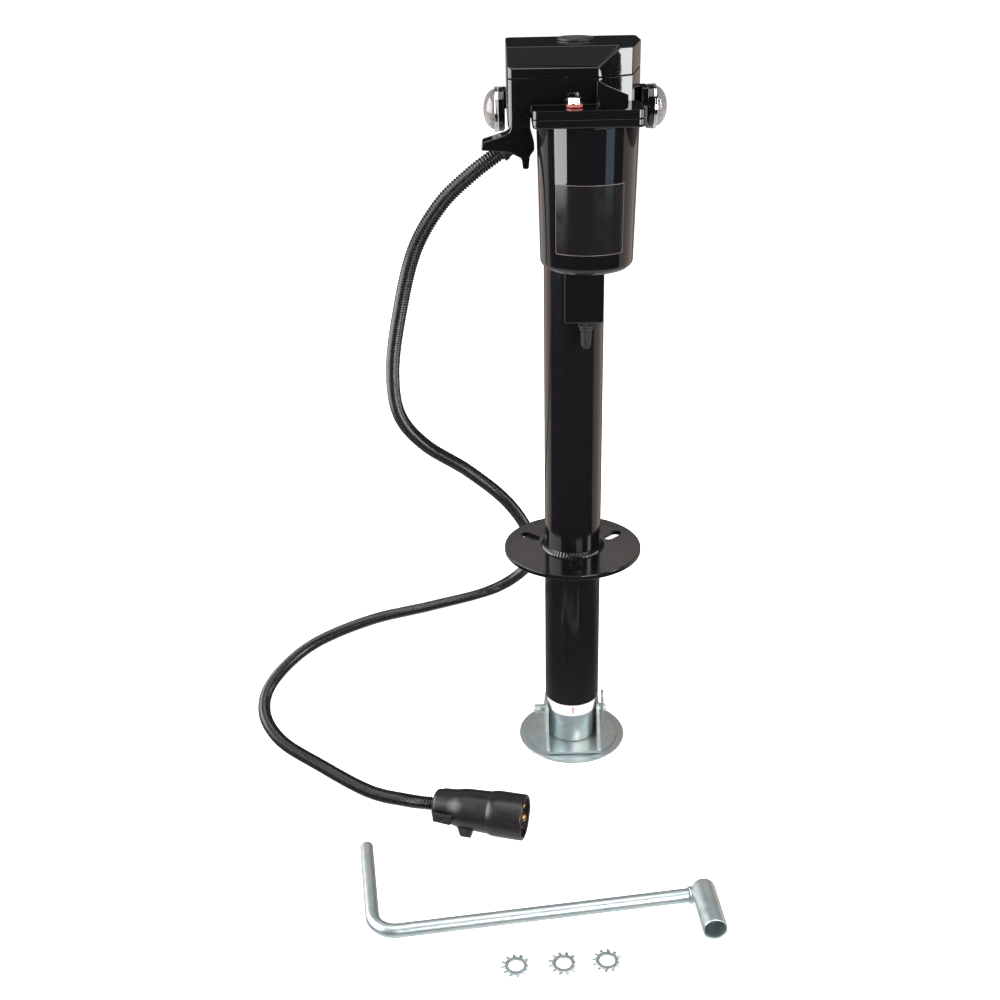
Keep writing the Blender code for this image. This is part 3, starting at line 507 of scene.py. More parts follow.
def hoop(centre, side, up, radii):
    """Points round a centre, each at its own radius."""
    swings = [2 * math.pi * corner / len(radii) for corner in range(len(radii))]
    return [centre + (side * math.cos(swing) + up * math.sin(swing)) * radius
            for swing, radius in zip(swings, radii)]


def skin(name, rings):
    """A closed tube through rings of points."""
    bm = bmesh.new()
    hoops = [[bm.verts.new(point) for point in ring] for ring in rings]
    for near, far in zip(hoops, hoops[1:]):
        for corner in range(len(near)):
            after = (corner + 1) % len(near)
            bm.faces.new((near[corner], near[after], far[after], far[corner]))
    bm.faces.new(hoops[0][::-1])
    bm.faces.new(hoops[-1])
    bmesh.ops.recalc_face_normals(bm, faces=bm.faces)
    mesh = bpy.data.meshes.new(name)
    bm.to_mesh(mesh)
    bm.free()
    piece = bpy.data.objects.new(name, mesh)
    bpy.context.scene.collection.objects.link(piece)
    return piece


def build_loom():
    """Flat crests and narrow valleys along the route, with the slit as one sunk column."""
    centres, length = smooth_route(LOOM_ROUTE, RIB_PITCH / RINGS_A_RIB)
    rings = []
    for number, (centre, _, side, up) in enumerate(carried(centres, Vector((0, 1, 0)))):
        crest = number % RINGS_A_RIB in (1, 2)
        radii = [LOOM_R if crest else LOOM_R - RIB_DEPTH] * RIB_SIDES
        radii[SLIT_CORNER] = LOOM_R - SLIT_DEPTH
        rings.append(hoop(centre, side, up, radii))
    loom = skin("ribbed_loom", rings)
    finish(loom, polyethylene, "housing", "loom_cord", 60)
    return loom, centres, length


loom, loom_path, loom_length = build_loom()


# Head -------------------------------------------------------------------------------------------------------
case_low, case_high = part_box("gear_case")
lid_low, lid_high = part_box("head_lid")
flange_low, flange_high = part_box("motor_flange")
HEAD_LEFT = lid_low.x
HEAD_FRONT = lid_low.y
HEAD_RIGHT = lid_high.x
HEAD_BACK = lid_high.y
LID_TOP = lid_high.z
SEAM = lid_low.z
FRONT_FACETS = (Vector((HEAD_RIGHT - 43 * MM, HEAD_FRONT, 0)),
                Vector((HEAD_RIGHT - 29 * MM, HEAD_FRONT + 4.5 * MM, 0)),
                Vector((HEAD_RIGHT - 14 * MM, HEAD_FRONT + 13 * MM, 0)),
                Vector((HEAD_RIGHT, -4 * MM, 0)))
FACET_DRAFT = (0.0, 0.05, 0.0)
CORNER_R = 6 * MM
EDGE_R = 2.2 * MM
GAP = 0.3 * MM


def saw_front(piece):
    """Saw the right front corner to its facets and round the other upright corners."""
    for start, end, draft in zip(FRONT_FACETS, FRONT_FACETS[1:], FACET_DRAFT):
        run = (end - start).normalized()
        foot = start + Vector((0, 0, case_low.z))
        saw(piece, foot, Vector((run.y, -run.x, draft)))
    corners = [Vector(c) for c in ((HEAD_LEFT, HEAD_FRONT), (HEAD_LEFT, HEAD_BACK), (HEAD_RIGHT, HEAD_BACK))]

    def upright(top, foot):
        here = ((top + foot) / 2).xy
        return (top - foot).xy.length < 10 * TINY and any((here - c).length < 100 * TINY for c in corners)

    round_edges(piece, CORNER_R, 6, upright)


def build_lid():
    lid = block("lid_shell", lid_low, lid_high)
    saw_front(lid)
    slope_back = HEAD_FRONT + 30 * MM
    front_edge = LID_TOP - 14 * MM
    wedge = block("wedge", (HEAD_LEFT - 0.02, HEAD_FRONT - 0.02, front_edge - 0.02),
                  (HEAD_RIGHT, slope_back + 0.02, LID_TOP + 0.02))
    saw(wedge, (0, HEAD_FRONT, front_edge), Vector((0, LID_TOP - front_edge, HEAD_FRONT - slope_back)))
    saw(wedge, (FRONT_FACETS[0].x, 0, front_edge), Vector((LID_TOP - front_edge, 0, -18.3 * MM)))
    cut(lid, wedge)
    soften(lid, EDGE_R, 4, 24)
    well = turn("well", ((0, LID_TOP - 12 * MM), (12.1 * MM, LID_TOP - 12 * MM), (12.1 * MM, LID_TOP + 0.01),
                         (0, LID_TOP + 0.01)), steps=64)
    cut(lid, well)
    lip = block("lip", (HEAD_LEFT - 0.01, HEAD_FRONT - 0.01, SEAM - 0.01),
                (HEAD_RIGHT + 0.01, HEAD_BACK + 0.01, SEAM + 0.1 * MM))
    cut(lid, lip)
    finish(lid, abs_plastic, "housing", "head_lid", 40)


def build_case():
    case = block("case_shell", (HEAD_LEFT, HEAD_FRONT, case_low.z), (HEAD_RIGHT, HEAD_BACK, case_high.z))
    saw_front(case)
    step = flange_high.z + GAP
    ledge_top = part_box("ledge_washer")[0].z - GAP
    bay = block("bay", (flange_low.x - 0.7 * MM, HEAD_FRONT - 0.1, case_low.z - 0.05),
                (HEAD_RIGHT + 0.1, flange_high.y + 1.5 * MM, step))
    cut(case, bay)
    ledge = slab("ledge", ((flange_low.x, flange_low.y, 5 * MM), (flange_high.x, flange_low.y, 5 * MM),
                           (flange_high.x, HEAD_FRONT + 18 * MM), (flange_low.x, HEAD_FRONT + 18 * MM)),
                 ledge_top - step + 1 * MM, Matrix.Translation((0, 0, step)))
    saw(ledge, (0, 0, ledge_top), (0, 0, 1))
    cut(case, ledge, "UNION")
    gusset = block("gusset", (FRONT_FACETS[0].x - 1 * MM, HEAD_FRONT - 12 * MM, ledge_top - 2 * MM),
                   (HEAD_RIGHT - 17 * MM, HEAD_FRONT + 15 * MM, SEAM - 2.5 * MM))
    saw(gusset, (FRONT_FACETS[0].x, HEAD_FRONT - 1 * MM, SEAM - 3 * MM), Vector((0.62, -0.62, 0.62)))
    saw(gusset, (HEAD_RIGHT - 17 * MM, HEAD_FRONT + 6 * MM, ledge_top - 1 * MM), Vector((0.55, -0.75, 0.35)))
    cut(case, gusset, "UNION")
    soften(case, 1.3 * MM, 3, 24)
    finish(case, abs_plastic, "housing", "gear_case", 40)


def build_motor_flange():
    collar = slab("motor_collar", rectangle(*flange_low.xy, *flange_high.xy, 5 * MM),
                  flange_high.z - flange_low.z, Matrix.Translation((0, 0, flange_low.z)))
    soften(collar, 1.4 * MM, 4, 24)
    finish(collar, abs_plastic, "housing", "motor_flange", 40)


COVER_TAPER = 2.9 * MM
COVER_FOOT = 4 * MM


def build_cover():
    low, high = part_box("motor_cover")
    top_r = half_width("motor_cover")
    foot_r = top_r - COVER_TAPER
    wall = 2.2 * MM
    cover = turn("cover_shell", (
        (0, low.z), (foot_r - 5 * MM, low.z, 1 * MM), (foot_r, low.z + COVER_FOOT, 2.4 * MM),
        (top_r, high.z, 0.4 * MM), (top_r - wall, high.z), (foot_r - wall, low.z + 5 * MM),
        (foot_r - wall - 3 * MM, low.z + wall), (0, low.z + wall)), upright_through("motor_cover"), 128)
    finish(cover, abs_plastic, "housing", "motor_cover", 40)


def wrap(piece, centre, radius_at, lift):
    """Bend a flat piece, drawn as (arc length, height), round an upright axis, facing -Y."""
    for vert in piece.data.vertices:
        depth = vert.co.z
        radius = radius_at(vert.co.y) + lift + depth
        swing = vert.co.x / radius_at(vert.co.y)
        across = centre.x + radius * math.sin(swing)
        out = centre.y - radius * math.cos(swing)
        vert.co = Vector((across, out, vert.co.y))
    return piece


def crossways(piece, steps, low, high):
    """Slice a flat piece into upright strips, so that it can be bent."""
    edit(piece)
    for step in range(1, steps):
        bpy.ops.mesh.select_all(action="SELECT")
        bpy.ops.mesh.bisect(plane_co=(low + (high - low) * step / steps, 0, 0), plane_no=(1, 0, 0))
    leave()


def build_sticker():
    """A printed film: its sheet and a border line, both bent to the cover."""
    cover_low, cover_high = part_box("motor_cover")
    low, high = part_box("cover_sticker")
    foot_z = cover_low.z + COVER_FOOT
    top_r = half_width("motor_cover")

    def radius_at(z):
        return top_r - COVER_TAPER * (cover_high.z - z) / (cover_high.z - foot_z)

    half = math.radians(43) * radius_at((low.z + high.z) / 2)
    for name, inset, lift, look in (("film_border", 0.0, 0.05 * MM, film_edge),
                                    ("film_sheet", 0.55 * MM, 0.2 * MM, film)):
        reach = half - inset
        sheet = slab(name, rectangle(-reach, low.z + inset, reach, high.z - inset, 1.2 * MM), 0.2 * MM)
        crossways(sheet, 40, -reach, reach)
        wrap(sheet, middle("motor_cover"), radius_at, lift)
        finish(sheet, look, "housing", "cover_sticker", 40)


def build_cap():
    low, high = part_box("override_cap")
    reach = half_width("override_cap")
    rest = LID_TOP + GAP
    cap = turn("override_plug", (
        (0, high.z - 0.5 * MM), (reach - 5 * MM, high.z - 0.5 * MM, 0.3 * MM),
        (reach - 4 * MM, high.z, 0.4 * MM), (reach - 1 * MM, high.z, 0.8 * MM),
        (reach, rest + 1 * MM, 0.6 * MM), (reach, rest), (11.7 * MM, rest),
        (11.7 * MM, rest - 3 * MM, 0.4 * MM), (11.3 * MM, low.z, 0.6 * MM), (10.3 * MM, low.z),
        (10.3 * MM, rest - 0.6 * MM), (0, rest - 0.6 * MM)), steps=64)
    finish(cap, rubber, "cap", "override_cap", 35)


def build_ledge_bolt():
    """A hexagon screw with a flange, on its fibre washer."""
    low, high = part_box("ledge_bolt")
    line = upright_through("ledge_bolt")
    washer_low, washer_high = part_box("ledge_washer")
    outer = half_width("ledge_washer")
    hole = 3.3 * MM
    washer = turn("fibre_washer", ((hole, washer_low.z), (outer, washer_low.z, 0.5 * MM),
                                   (outer, washer_high.z, 0.6 * MM), (hole, washer_high.z)), line, 40, True)
    finish(washer, fibre, "housing", "ledge_washer")
    seat = washer_high.z + GAP
    across = 5.5 * MM
    swings = [math.radians(60 * corner + 12) for corner in range(6)]
    corners = [(across * math.cos(swing), across * math.sin(swing)) for swing in swings]
    head = slab("hex_head", corners, high.z - seat - 1 * MM, line @ Matrix.Translation((0, 0, seat + 1 * MM)))
    crown = turn("crown", ((0, seat), (7 * MM, seat), (7 * MM, high.z - 2.2 * MM), (4.3 * MM, high.z),
                           (0, high.z)), line, 40)
    cut(head, crown, "INTERSECT")
    soften(head, 0.25 * MM, 2, 24)
    skirt = turn("skirt", ((0, seat), (6.2 * MM, seat, 0.2 * MM), (6.2 * MM, seat + 0.8 * MM, 0.4 * MM),
                           (4.6 * MM, seat + 1.6 * MM), (0, seat + 1.6 * MM)), line, 40)
    shank = turn("shank", ((0, low.z), (2.8 * MM, low.z), (2.8 * MM, seat + 0.1 * MM), (0, seat + 0.1 * MM)),
                 line, 24)
    bolt = join(head, skirt, shank)
    bolt.name = "flange_screw"
    finish(bolt, chrome, "housing", "ledge_bolt", 30)


def build_light(side):
    """A round marker light: housing with its stem, bezel, ribbed clear dome and bright bowl."""
    sign = -1 if side == "left" else 1
    body_low, body_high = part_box(f"{side}_light_body")
    bezel_low, bezel_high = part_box(f"{side}_light_bezel")
    lens_low, lens_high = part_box(f"{side}_light_lens")
    centre = middle(f"{side}_light_bezel")
    line = facing((0, centre.y, centre.z), (sign, 0, 0))
    inner = min(abs(bezel_low.x), abs(bezel_high.x))
    outer = max(abs(bezel_low.x), abs(bezel_high.x))
    tip = max(abs(lens_low.x), abs(lens_high.x))
    wall = min(abs(body_low.x), abs(body_high.x))
    bezel_r = (bezel_high.z - bezel_low.z) / 2
    lens_r = (lens_high.z - lens_low.z) / 2
    body_r = bezel_r - 0.4 * MM
    housing = turn(f"{side}_light_shell", (
        (0, inner - 6 * MM), (body_r - 2 * MM, inner - 6 * MM, 0.5 * MM),
        (body_r, inner - 4.5 * MM, 0.8 * MM), (body_r, inner - 0.4 * MM), (0, inner - 0.4 * MM)), line, 96)
    near, far = sorted((sign * wall, sign * (inner - 4 * MM)))
    stem = block("stem", (near, -body_r + 3 * MM, centre.z + 2 * MM),
                 (far, body_r - 3 * MM, centre.z + body_r - 1.5 * MM))
    soften(stem, 1.2 * MM, 3, 24)
    cut(housing, stem, "UNION")
    finish(housing, abs_plastic, "housing", f"{side}_light_body", 35)
    bezel = turn(f"{side}_light_ring", (
        (lens_r + 0.2 * MM, inner), (bezel_r, inner, 0.3 * MM), (bezel_r, inner + 0.9 * MM, 0.2 * MM),
        (bezel_r - 0.5 * MM, inner + 1.2 * MM, 0.2 * MM), (bezel_r, inner + 1.6 * MM, 0.2 * MM),
        (bezel_r - 0.2 * MM, outer, 0.7 * MM), (lens_r + 0.3 * MM, outer, 0.3 * MM)), line, 96, True)
    finish(bezel, chrome, "housing", f"{side}_light_bezel", 30)
    spring = inner + 2.4 * MM
    rise = tip - spring
    glass = 1.2 * MM
    dome = [(0, tip)]
    dome += [(lens_r * math.cos(math.radians(swing)), spring + rise * math.sin(math.radians(swing)))
             for swing in range(80, -10, -10)]
    dome += [(lens_r, inner + 0.2 * MM), (lens_r - glass, inner + 0.2 * MM), (lens_r - glass, spring)]
    for step in range(1, 10):
        swing = math.radians(9.5 * step)
        groove = 0.1 * MM if step % 2 else 0
        dome.append(((lens_r - glass - groove) * math.cos(swing),
                     spring + (rise - glass - groove) * math.sin(swing)))
    dome.append((0, tip - glass))
    lens = turn(f"{side}_light_dome", dome, line, 96)
    finish(lens, polycarbonate, "housing", f"{side}_light_lens", 50)
    bowl_r = lens_r - glass - 1.2 * MM
    bowl = turn(f"{side}_light_bowl", (
        (0, inner + 0.3 * MM), (bowl_r - 4 * MM, inner + 0.3 * MM), (bowl_r, inner + 2.0 * MM, 0.4 * MM),
        (bowl_r, inner + 3.0 * MM, 0.3 * MM), (6 * MM, inner + 1.3 * MM, 1 * MM),
        (3.4 * MM, inner + 2.2 * MM), (3.2 * MM, inner + 4.4 * MM, 0.8 * MM), (0, inner + 6 * MM)), line, 64)
    finish(bowl, chrome, "housing", f"{side}_light_reflector", 40)


def build_holder():
    """The loom's clamp under the case: a flat tab, a foot and a hanging prong."""
    low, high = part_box("loom_holder")
    base = high.z
    side = ((-84, -23.2, 1.2), (-83, -16.7, 1.2), (-60, -9.7, 3), (-56, 0), (-43, 0), (-38, -17.7, 1),
            (-38, -23.7, 1), (-42, -28.7, 2), (-43, -39.7, 1.4), (-48, -39.7, 1.4), (-49, -30.7, 2),
            (-60, -25.2, 2))
    outline = [(x * MM, base + z * MM, *[c * MM for c in corner]) for x, z, *corner in side]
    stand = Matrix(((1, 0, 0, 0), (0, 0, -1, 0), (0, 1, 0, 0), (0, 0, 0, 1)))
    holder = slab("loom_clamp", outline, high.y - low.y, stand @ Matrix.Translation((0, 0, -high.y)))
    soften(holder, 1.2 * MM, 3, 30)
    leaving = (loom_path[6] - loom_path[0]).normalized()
    seat_line = facing(LOOM_ROUTE[0], -leaving)
    cut(holder, turn("seat", ((0, 0), (9.8 * MM, 0), (9.8 * MM, 13.6 * MM), (0, 13.6 * MM)), seat_line, 48))
    cut(holder, turn("way", ((0, -30 * MM), (8.2 * MM, -30 * MM), (8.2 * MM, 2 * MM), (0, 2 * MM)),
                     seat_line, 48))
    finish(holder, abs_plastic, "housing", "loom_holder", 35)
    gland = turn("loom_bush", ((0, 0.3 * MM), (9.5 * MM, 0.3 * MM, 0.8 * MM), (9.5 * MM, 4 * MM, 0.5 * MM),
                               (8.6 * MM, 5 * MM), (8.6 * MM, 9 * MM), (9.5 * MM, 10 * MM, 0.5 * MM),
                               (9.5 * MM, 13 * MM, 0.8 * MM), (0, 13 * MM)), seat_line, 48)
    finish(gland, rubber, "housing", "loom_gland", 35)


def build_switch():
    low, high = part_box("switch_box")
    box = block("switch_case", low, high)
    soften(box, 1.8 * MM, 4, 30)
    finish(box, abs_plastic, "housing", "switch_box", 35)
    nut_low, nut_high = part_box("boot_nut")
    line = upright_through("boot_nut")
    outer = half_width("boot_nut")
    nut = turn("boot_ring", ((7.5 * MM, nut_low.z), (outer - 1 * MM, nut_low.z, 0.6 * MM),
                             (outer, nut_high.z, 0.3 * MM), (7.5 * MM, nut_high.z)), line, 64, True)
    finish(nut, rubber, "housing", "boot_nut", 35)
    boot_low, boot_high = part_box("switch_boot")
    tip = boot_low.z
    top = boot_high.z
    boot = turn("toggle_boot", (
        (3.0 * MM, top - 0.3 * MM), (7.0 * MM, top, 0.6 * MM), (7.4 * MM, top - 1.6 * MM, 0.6 * MM),
        (6.0 * MM, top - 3.2 * MM, 0.5 * MM), (6.3 * MM, top - 4.4 * MM, 0.5 * MM),
        (5.2 * MM, top - 6.4 * MM, 0.5 * MM), (5.0 * MM, top - 9 * MM, 1 * MM),
        (4.5 * MM, tip + 3.4 * MM, 1 * MM), (3.0 * MM, tip + 0.7 * MM, 0.8 * MM), (0, tip),
        (0, tip + 3.2 * MM), (3.0 * MM, tip + 4.4 * MM)), line, 48, True)
    finish(boot, rubber, "switch", "switch_boot", 40)


build_lid()
build_case()
build_motor_flange()
build_cover()
build_sticker()
build_cap()
build_ledge_bolt()
for light_side in ("left", "right"):
    build_light(light_side)
build_holder()
build_switch()


# Leg, flange and foot ---------------------------------------------------------------------------------------
def build_leg():
    low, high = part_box("outer_tube")
    outer = half_width("outer_tube")
    wall = 2.8 * MM
    post = turn("leg_post", ((outer - wall, low.z), (outer, low.z, 0.5 * MM), (outer, high.z, 0.5 * MM),
                             (outer - wall, high.z)), steps=128, closed=True)
    finish(post, enamel, "housing", "outer_tube")


SLOT_ANGLES = (26, 154, 270)
SLOT_TURNS = (45, 135, 90)
SLOT_OUT = 18.6 * MM
SLOT_R = 5.75 * MM
SLOT_HALF = 12 * MM
ROUNDED = 0.999
WELD_SHARE = 0.8


def build_flange():
    """Round plate with three slots, its edges broken, and the ripples of a hand-laid weld bead."""
    low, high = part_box("mounting_flange")
    outer = half_width("mounting_flange")
    leg_r = half_width("outer_tube")
    inner = leg_r + GAP
    plate = turn("flange_plate", ((inner, low.z), (outer, low.z, 0.7 * MM), (outer, high.z, 0.9 * MM),
                                  (inner, high.z)), steps=144, closed=True)
    for angle, turned in zip(SLOT_ANGLES, SLOT_TURNS):
        place = Matrix.Rotation(math.radians(angle), 4, "Z") @ Vector((leg_r + SLOT_OUT, 0, low.z - 2 * MM))
        slot = slab("slot", rectangle(-SLOT_HALF, -SLOT_R, SLOT_HALF, SLOT_R, SLOT_R * ROUNDED), 9 * MM,
                    Matrix.Translation(place) @ Matrix.Rotation(math.radians(turned), 4, "Z"))
        cut(plate, slot)
    finish(plate, enamel, "housing", "mounting_flange", 30)

    weld_low, weld_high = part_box("flange_weld")
    rise = (weld_high.z - weld_low.z) * WELD_SHARE
    reach = (half_width("flange_weld") - inner) * WELD_SHARE
    bead = turn("weld_bead", (
        (inner, weld_low.z), (inner + reach, weld_low.z), (inner + reach * 0.93, weld_low.z + rise * 0.3),
        (inner + reach * 0.7, weld_low.z + rise * 0.56), (inner + reach * 0.4, weld_low.z + rise * 0.8),
        (inner, weld_low.z + rise)), steps=288, closed=True)
    for vert in bead.data.vertices:
        out = vert.co.xy.length
        if out > inner + 0.2 * MM and vert.co.z > weld_low.z + 0.1 * MM:
            swing = math.atan2(vert.co.y, vert.co.x)
            ripple = 0.5 + 0.5 * math.sin(swing * 62 + 0.8 * math.sin(5 * swing))
            drift = 0.5 + 0.5 * math.sin(3 * swing + 1.1)
            sink = 1 - 0.16 * (1 - ripple) - 0.12 * drift
            vert.co.xy = vert.co.xy * ((inner + (out - inner) * sink) / out)
            vert.co.z = weld_low.z + (vert.co.z - weld_low.z) * sink
    finish(bead, enamel, "housing", "flange_weld", 60)


def pin_line():
    """The line of the cross pin, through the foot and the ram."""
    return facing((0, 0, middle("foot_pin").z), (1, 0, 0))


def pin_drill():
    return turn("drill", ((0, -0.05), (5.15 * MM, -0.05), (5.15 * MM, 0.05), (0, 0.05)), pin_line(), 48)


def build_ram():
    """Zinc-plated ram with its cross hole, a white band and a red arrow on it."""
    low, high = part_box("inner_tube")
    outer = half_width("inner_tube")
    ram = turn("ram_tube", ((outer - 3 * MM, low.z), (outer, low.z, 1.2 * MM), (outer, high.z),
                            (outer - 3 * MM, high.z)), steps=96, closed=True)
    cut(ram, pin_drill())
    finish(ram, zinc, "ram", "inner_tube", 30)

    band_low, band_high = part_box("leg_label")
    band = turn("stop_band", ((outer + 0.05 * MM, band_low.z), (outer + 0.3 * MM, band_low.z, 0.1 * MM),
                              (outer + 0.3 * MM, band_high.z, 0.1 * MM), (outer + 0.05 * MM, band_high.z)),
                steps=128, closed=True)
    finish(band, vinyl, "ram", "leg_label", 30)
    tall = band_high.z - band_low.z
    tip = band_low.z + 0.78 * tall
    foot = band_low.z + 0.24 * tall
    arrow = slab("band_arrow", ((-0.6 * MM, foot), (0.6 * MM, foot), (0.6 * MM, tip - 2.6 * MM),
                                (1.9 * MM, tip - 2.6 * MM), (0, tip), (-1.9 * MM, tip - 2.6 * MM),
                                (-0.6 * MM, tip - 2.6 * MM)), 0.04 * MM)
    wrap(arrow, Vector((0, 0, 0)), lambda z: outer, 0.31 * MM)
    finish(arrow, red_ink, "ram", "leg_label", 30)


def build_foot():
    """Pressed round plate, folded bracket, cross pin and its spring clip, all bright zinc."""
    low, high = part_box("foot_plate")
    outer = half_width("foot_plate")
    plate = turn("foot_disc", (
        (0, low.z), (outer - 1.2 * MM, low.z, 0.5 * MM), (outer, low.z + 1.1 * MM, 0.5 * MM),
        (outer, high.z - 0.3 * MM, 0.25 * MM), (outer - 1.4 * MM, high.z, 0.5 * MM),
        (outer - 7 * MM, high.z, 1 * MM), (outer - 8.2 * MM, high.z - 0.5 * MM, 1 * MM),
        (0, high.z - 0.5 * MM)), steps=144)
    finish(plate, zinc, "ram", "foot_plate", 30)

    low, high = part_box("foot_bracket")
    wall = 3.0 * MM
    inside = high.x - wall
    depth = high.y
    top = high.z
    floor_z = low.z + wall
    sweep = slab("foot_channel", (
        (-depth, low.z, 1.2 * MM), (depth, low.z, 1.2 * MM), (depth, floor_z + 2 * MM, 1 * MM),
        (17 * MM, top - 8 * MM, 8 * MM), (13 * MM, top - 1 * MM, 2 * MM), (9 * MM, top, 3 * MM),
        (-9 * MM, top, 3 * MM), (-13 * MM, top - 1 * MM, 2 * MM), (-17 * MM, top - 8 * MM, 8 * MM),
        (-depth, floor_z + 2 * MM, 1 * MM)), 2 * high.x,
        Matrix(((0, 0, 1, -high.x), (1, 0, 0, 0), (0, 1, 0, 0), (0, 0, 0, 1))))
    round_edges(sweep, 2.6 * MM, 4, lambda a, b: abs(a.y - b.y) > 30 * MM and all(
        abs(end.z - low.z) < TINY and abs(abs(end.x) - high.x) < TINY for end in (a, b)))
    mouth = block("mouth", (-inside, -depth - 0.01, floor_z), (inside, depth + 0.01, top + 0.02))
    round_edges(mouth, 0.5 * MM, 3, lambda a, b: abs(a.y - b.y) > 30 * MM and all(
        abs(end.z - floor_z) < TINY for end in (a, b)))
    cut(sweep, mouth)
    cut(sweep, pin_drill())
    soften(sweep, 0.35 * MM, 2, 35)
    finish(sweep, zinc, "ram", "foot_bracket", 30)

    pin_low, pin_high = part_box("foot_pin")
    reach = (pin_high.z - pin_low.z) / 2
    left = pin_low.x
    right = pin_high.x
    pin = turn("cross_pin", (
        (0, left), (reach - 1.0 * MM, left, 0.4 * MM), (reach, left + 1.2 * MM, 0.4 * MM),
        (reach, left + 3.4 * MM, 0.2 * MM), (reach - 0.4 * MM, left + 3.7 * MM, 0.2 * MM),
        (reach, left + 4.0 * MM, 0.2 * MM), (reach, right - 1.6 * MM, 0.5 * MM),
        (reach - 1.4 * MM, right, 0.4 * MM), (0, right)), pin_line(), 64)
    clip_x = middle("pin_clip").x
    cut(pin, turn("clip_drill", ((0, 0.01), (1.6 * MM, 0.01), (1.6 * MM, 0.06), (0, 0.06)),
                  Matrix.Translation((clip_x, 0, 0)), 24))
    finish(pin, zinc, "ram", "foot_pin", 30)

    clip_shape = ((0, 17), (0, 26), (0, 35), (0, 42), (1.6, 46), (3.4, 49), (3.0, 52.5), (0.2, 54.6),
                  (-3.4, 54.4), (-6.4, 51.8), (-7.6, 47.5), (-7.0, 43), (-6.7, 38), (-6.6, 33), (-6.6, 28),
                  (-6.7, 24), (-7.6, 19.5))
    wire_r = 1.2 * MM
    points = [Vector((clip_x, y * MM, z * MM)) for y, z in clip_shape]
    clip = rod_along("spring_clip", points, wire_r, wire_r, 16)
    finish(clip, zinc, "clip", "pin_clip", 50)


def rod_along(name, points, radius, spacing, sides, blunt=0.25):
    """Round bar along a smooth line, its two ends blunted."""
    path, _ = smooth_route(points, spacing)
    start = (path[1] - path[0]).normalized()
    side = start.cross(Vector((0, 0, 1)))
    if side.length < 0.1:
        side = start.cross(Vector((0, 1, 0)))
    frames = list(carried(path, side.normalized()))
    inset = radius * blunt
    stops = [(frames[0], 0, 1 - blunt), (frames[0], inset, 1)]
    stops += [(here, 0, 1) for here in frames[1:-1]]
    stops += [(frames[-1], -inset, 1), (frames[-1], 0, 1 - blunt)]
    return skin(name, [hoop(spot + along * shift, across, up, [radius * share] * sides)
                       for (spot, along, across, up), shift, share in stops])


build_leg()
build_flange()
build_ram()
build_foot()


# Plug, crank handle and star washers ------------------------------------------------------------------------
PLUG_DIRECTION = (0.965, -0.262, 0.0)
PLUG_LENGTH = 93 * MM
PLUG_R = 22.3 * MM
plug_line = facing(loom_path[-1], PLUG_DIRECTION)
plug_side = Vector((0, 0, 1)).cross(Vector(PLUG_DIRECTION)).normalized()


def beside_plug(up, aside, along):
    """A point beside the plug's axis, from lengths in millimetres."""
    return loom_path[-1] + (Vector((0, 0, up)) + plug_side * aside + Vector(PLUG_DIRECTION) * along) * MM


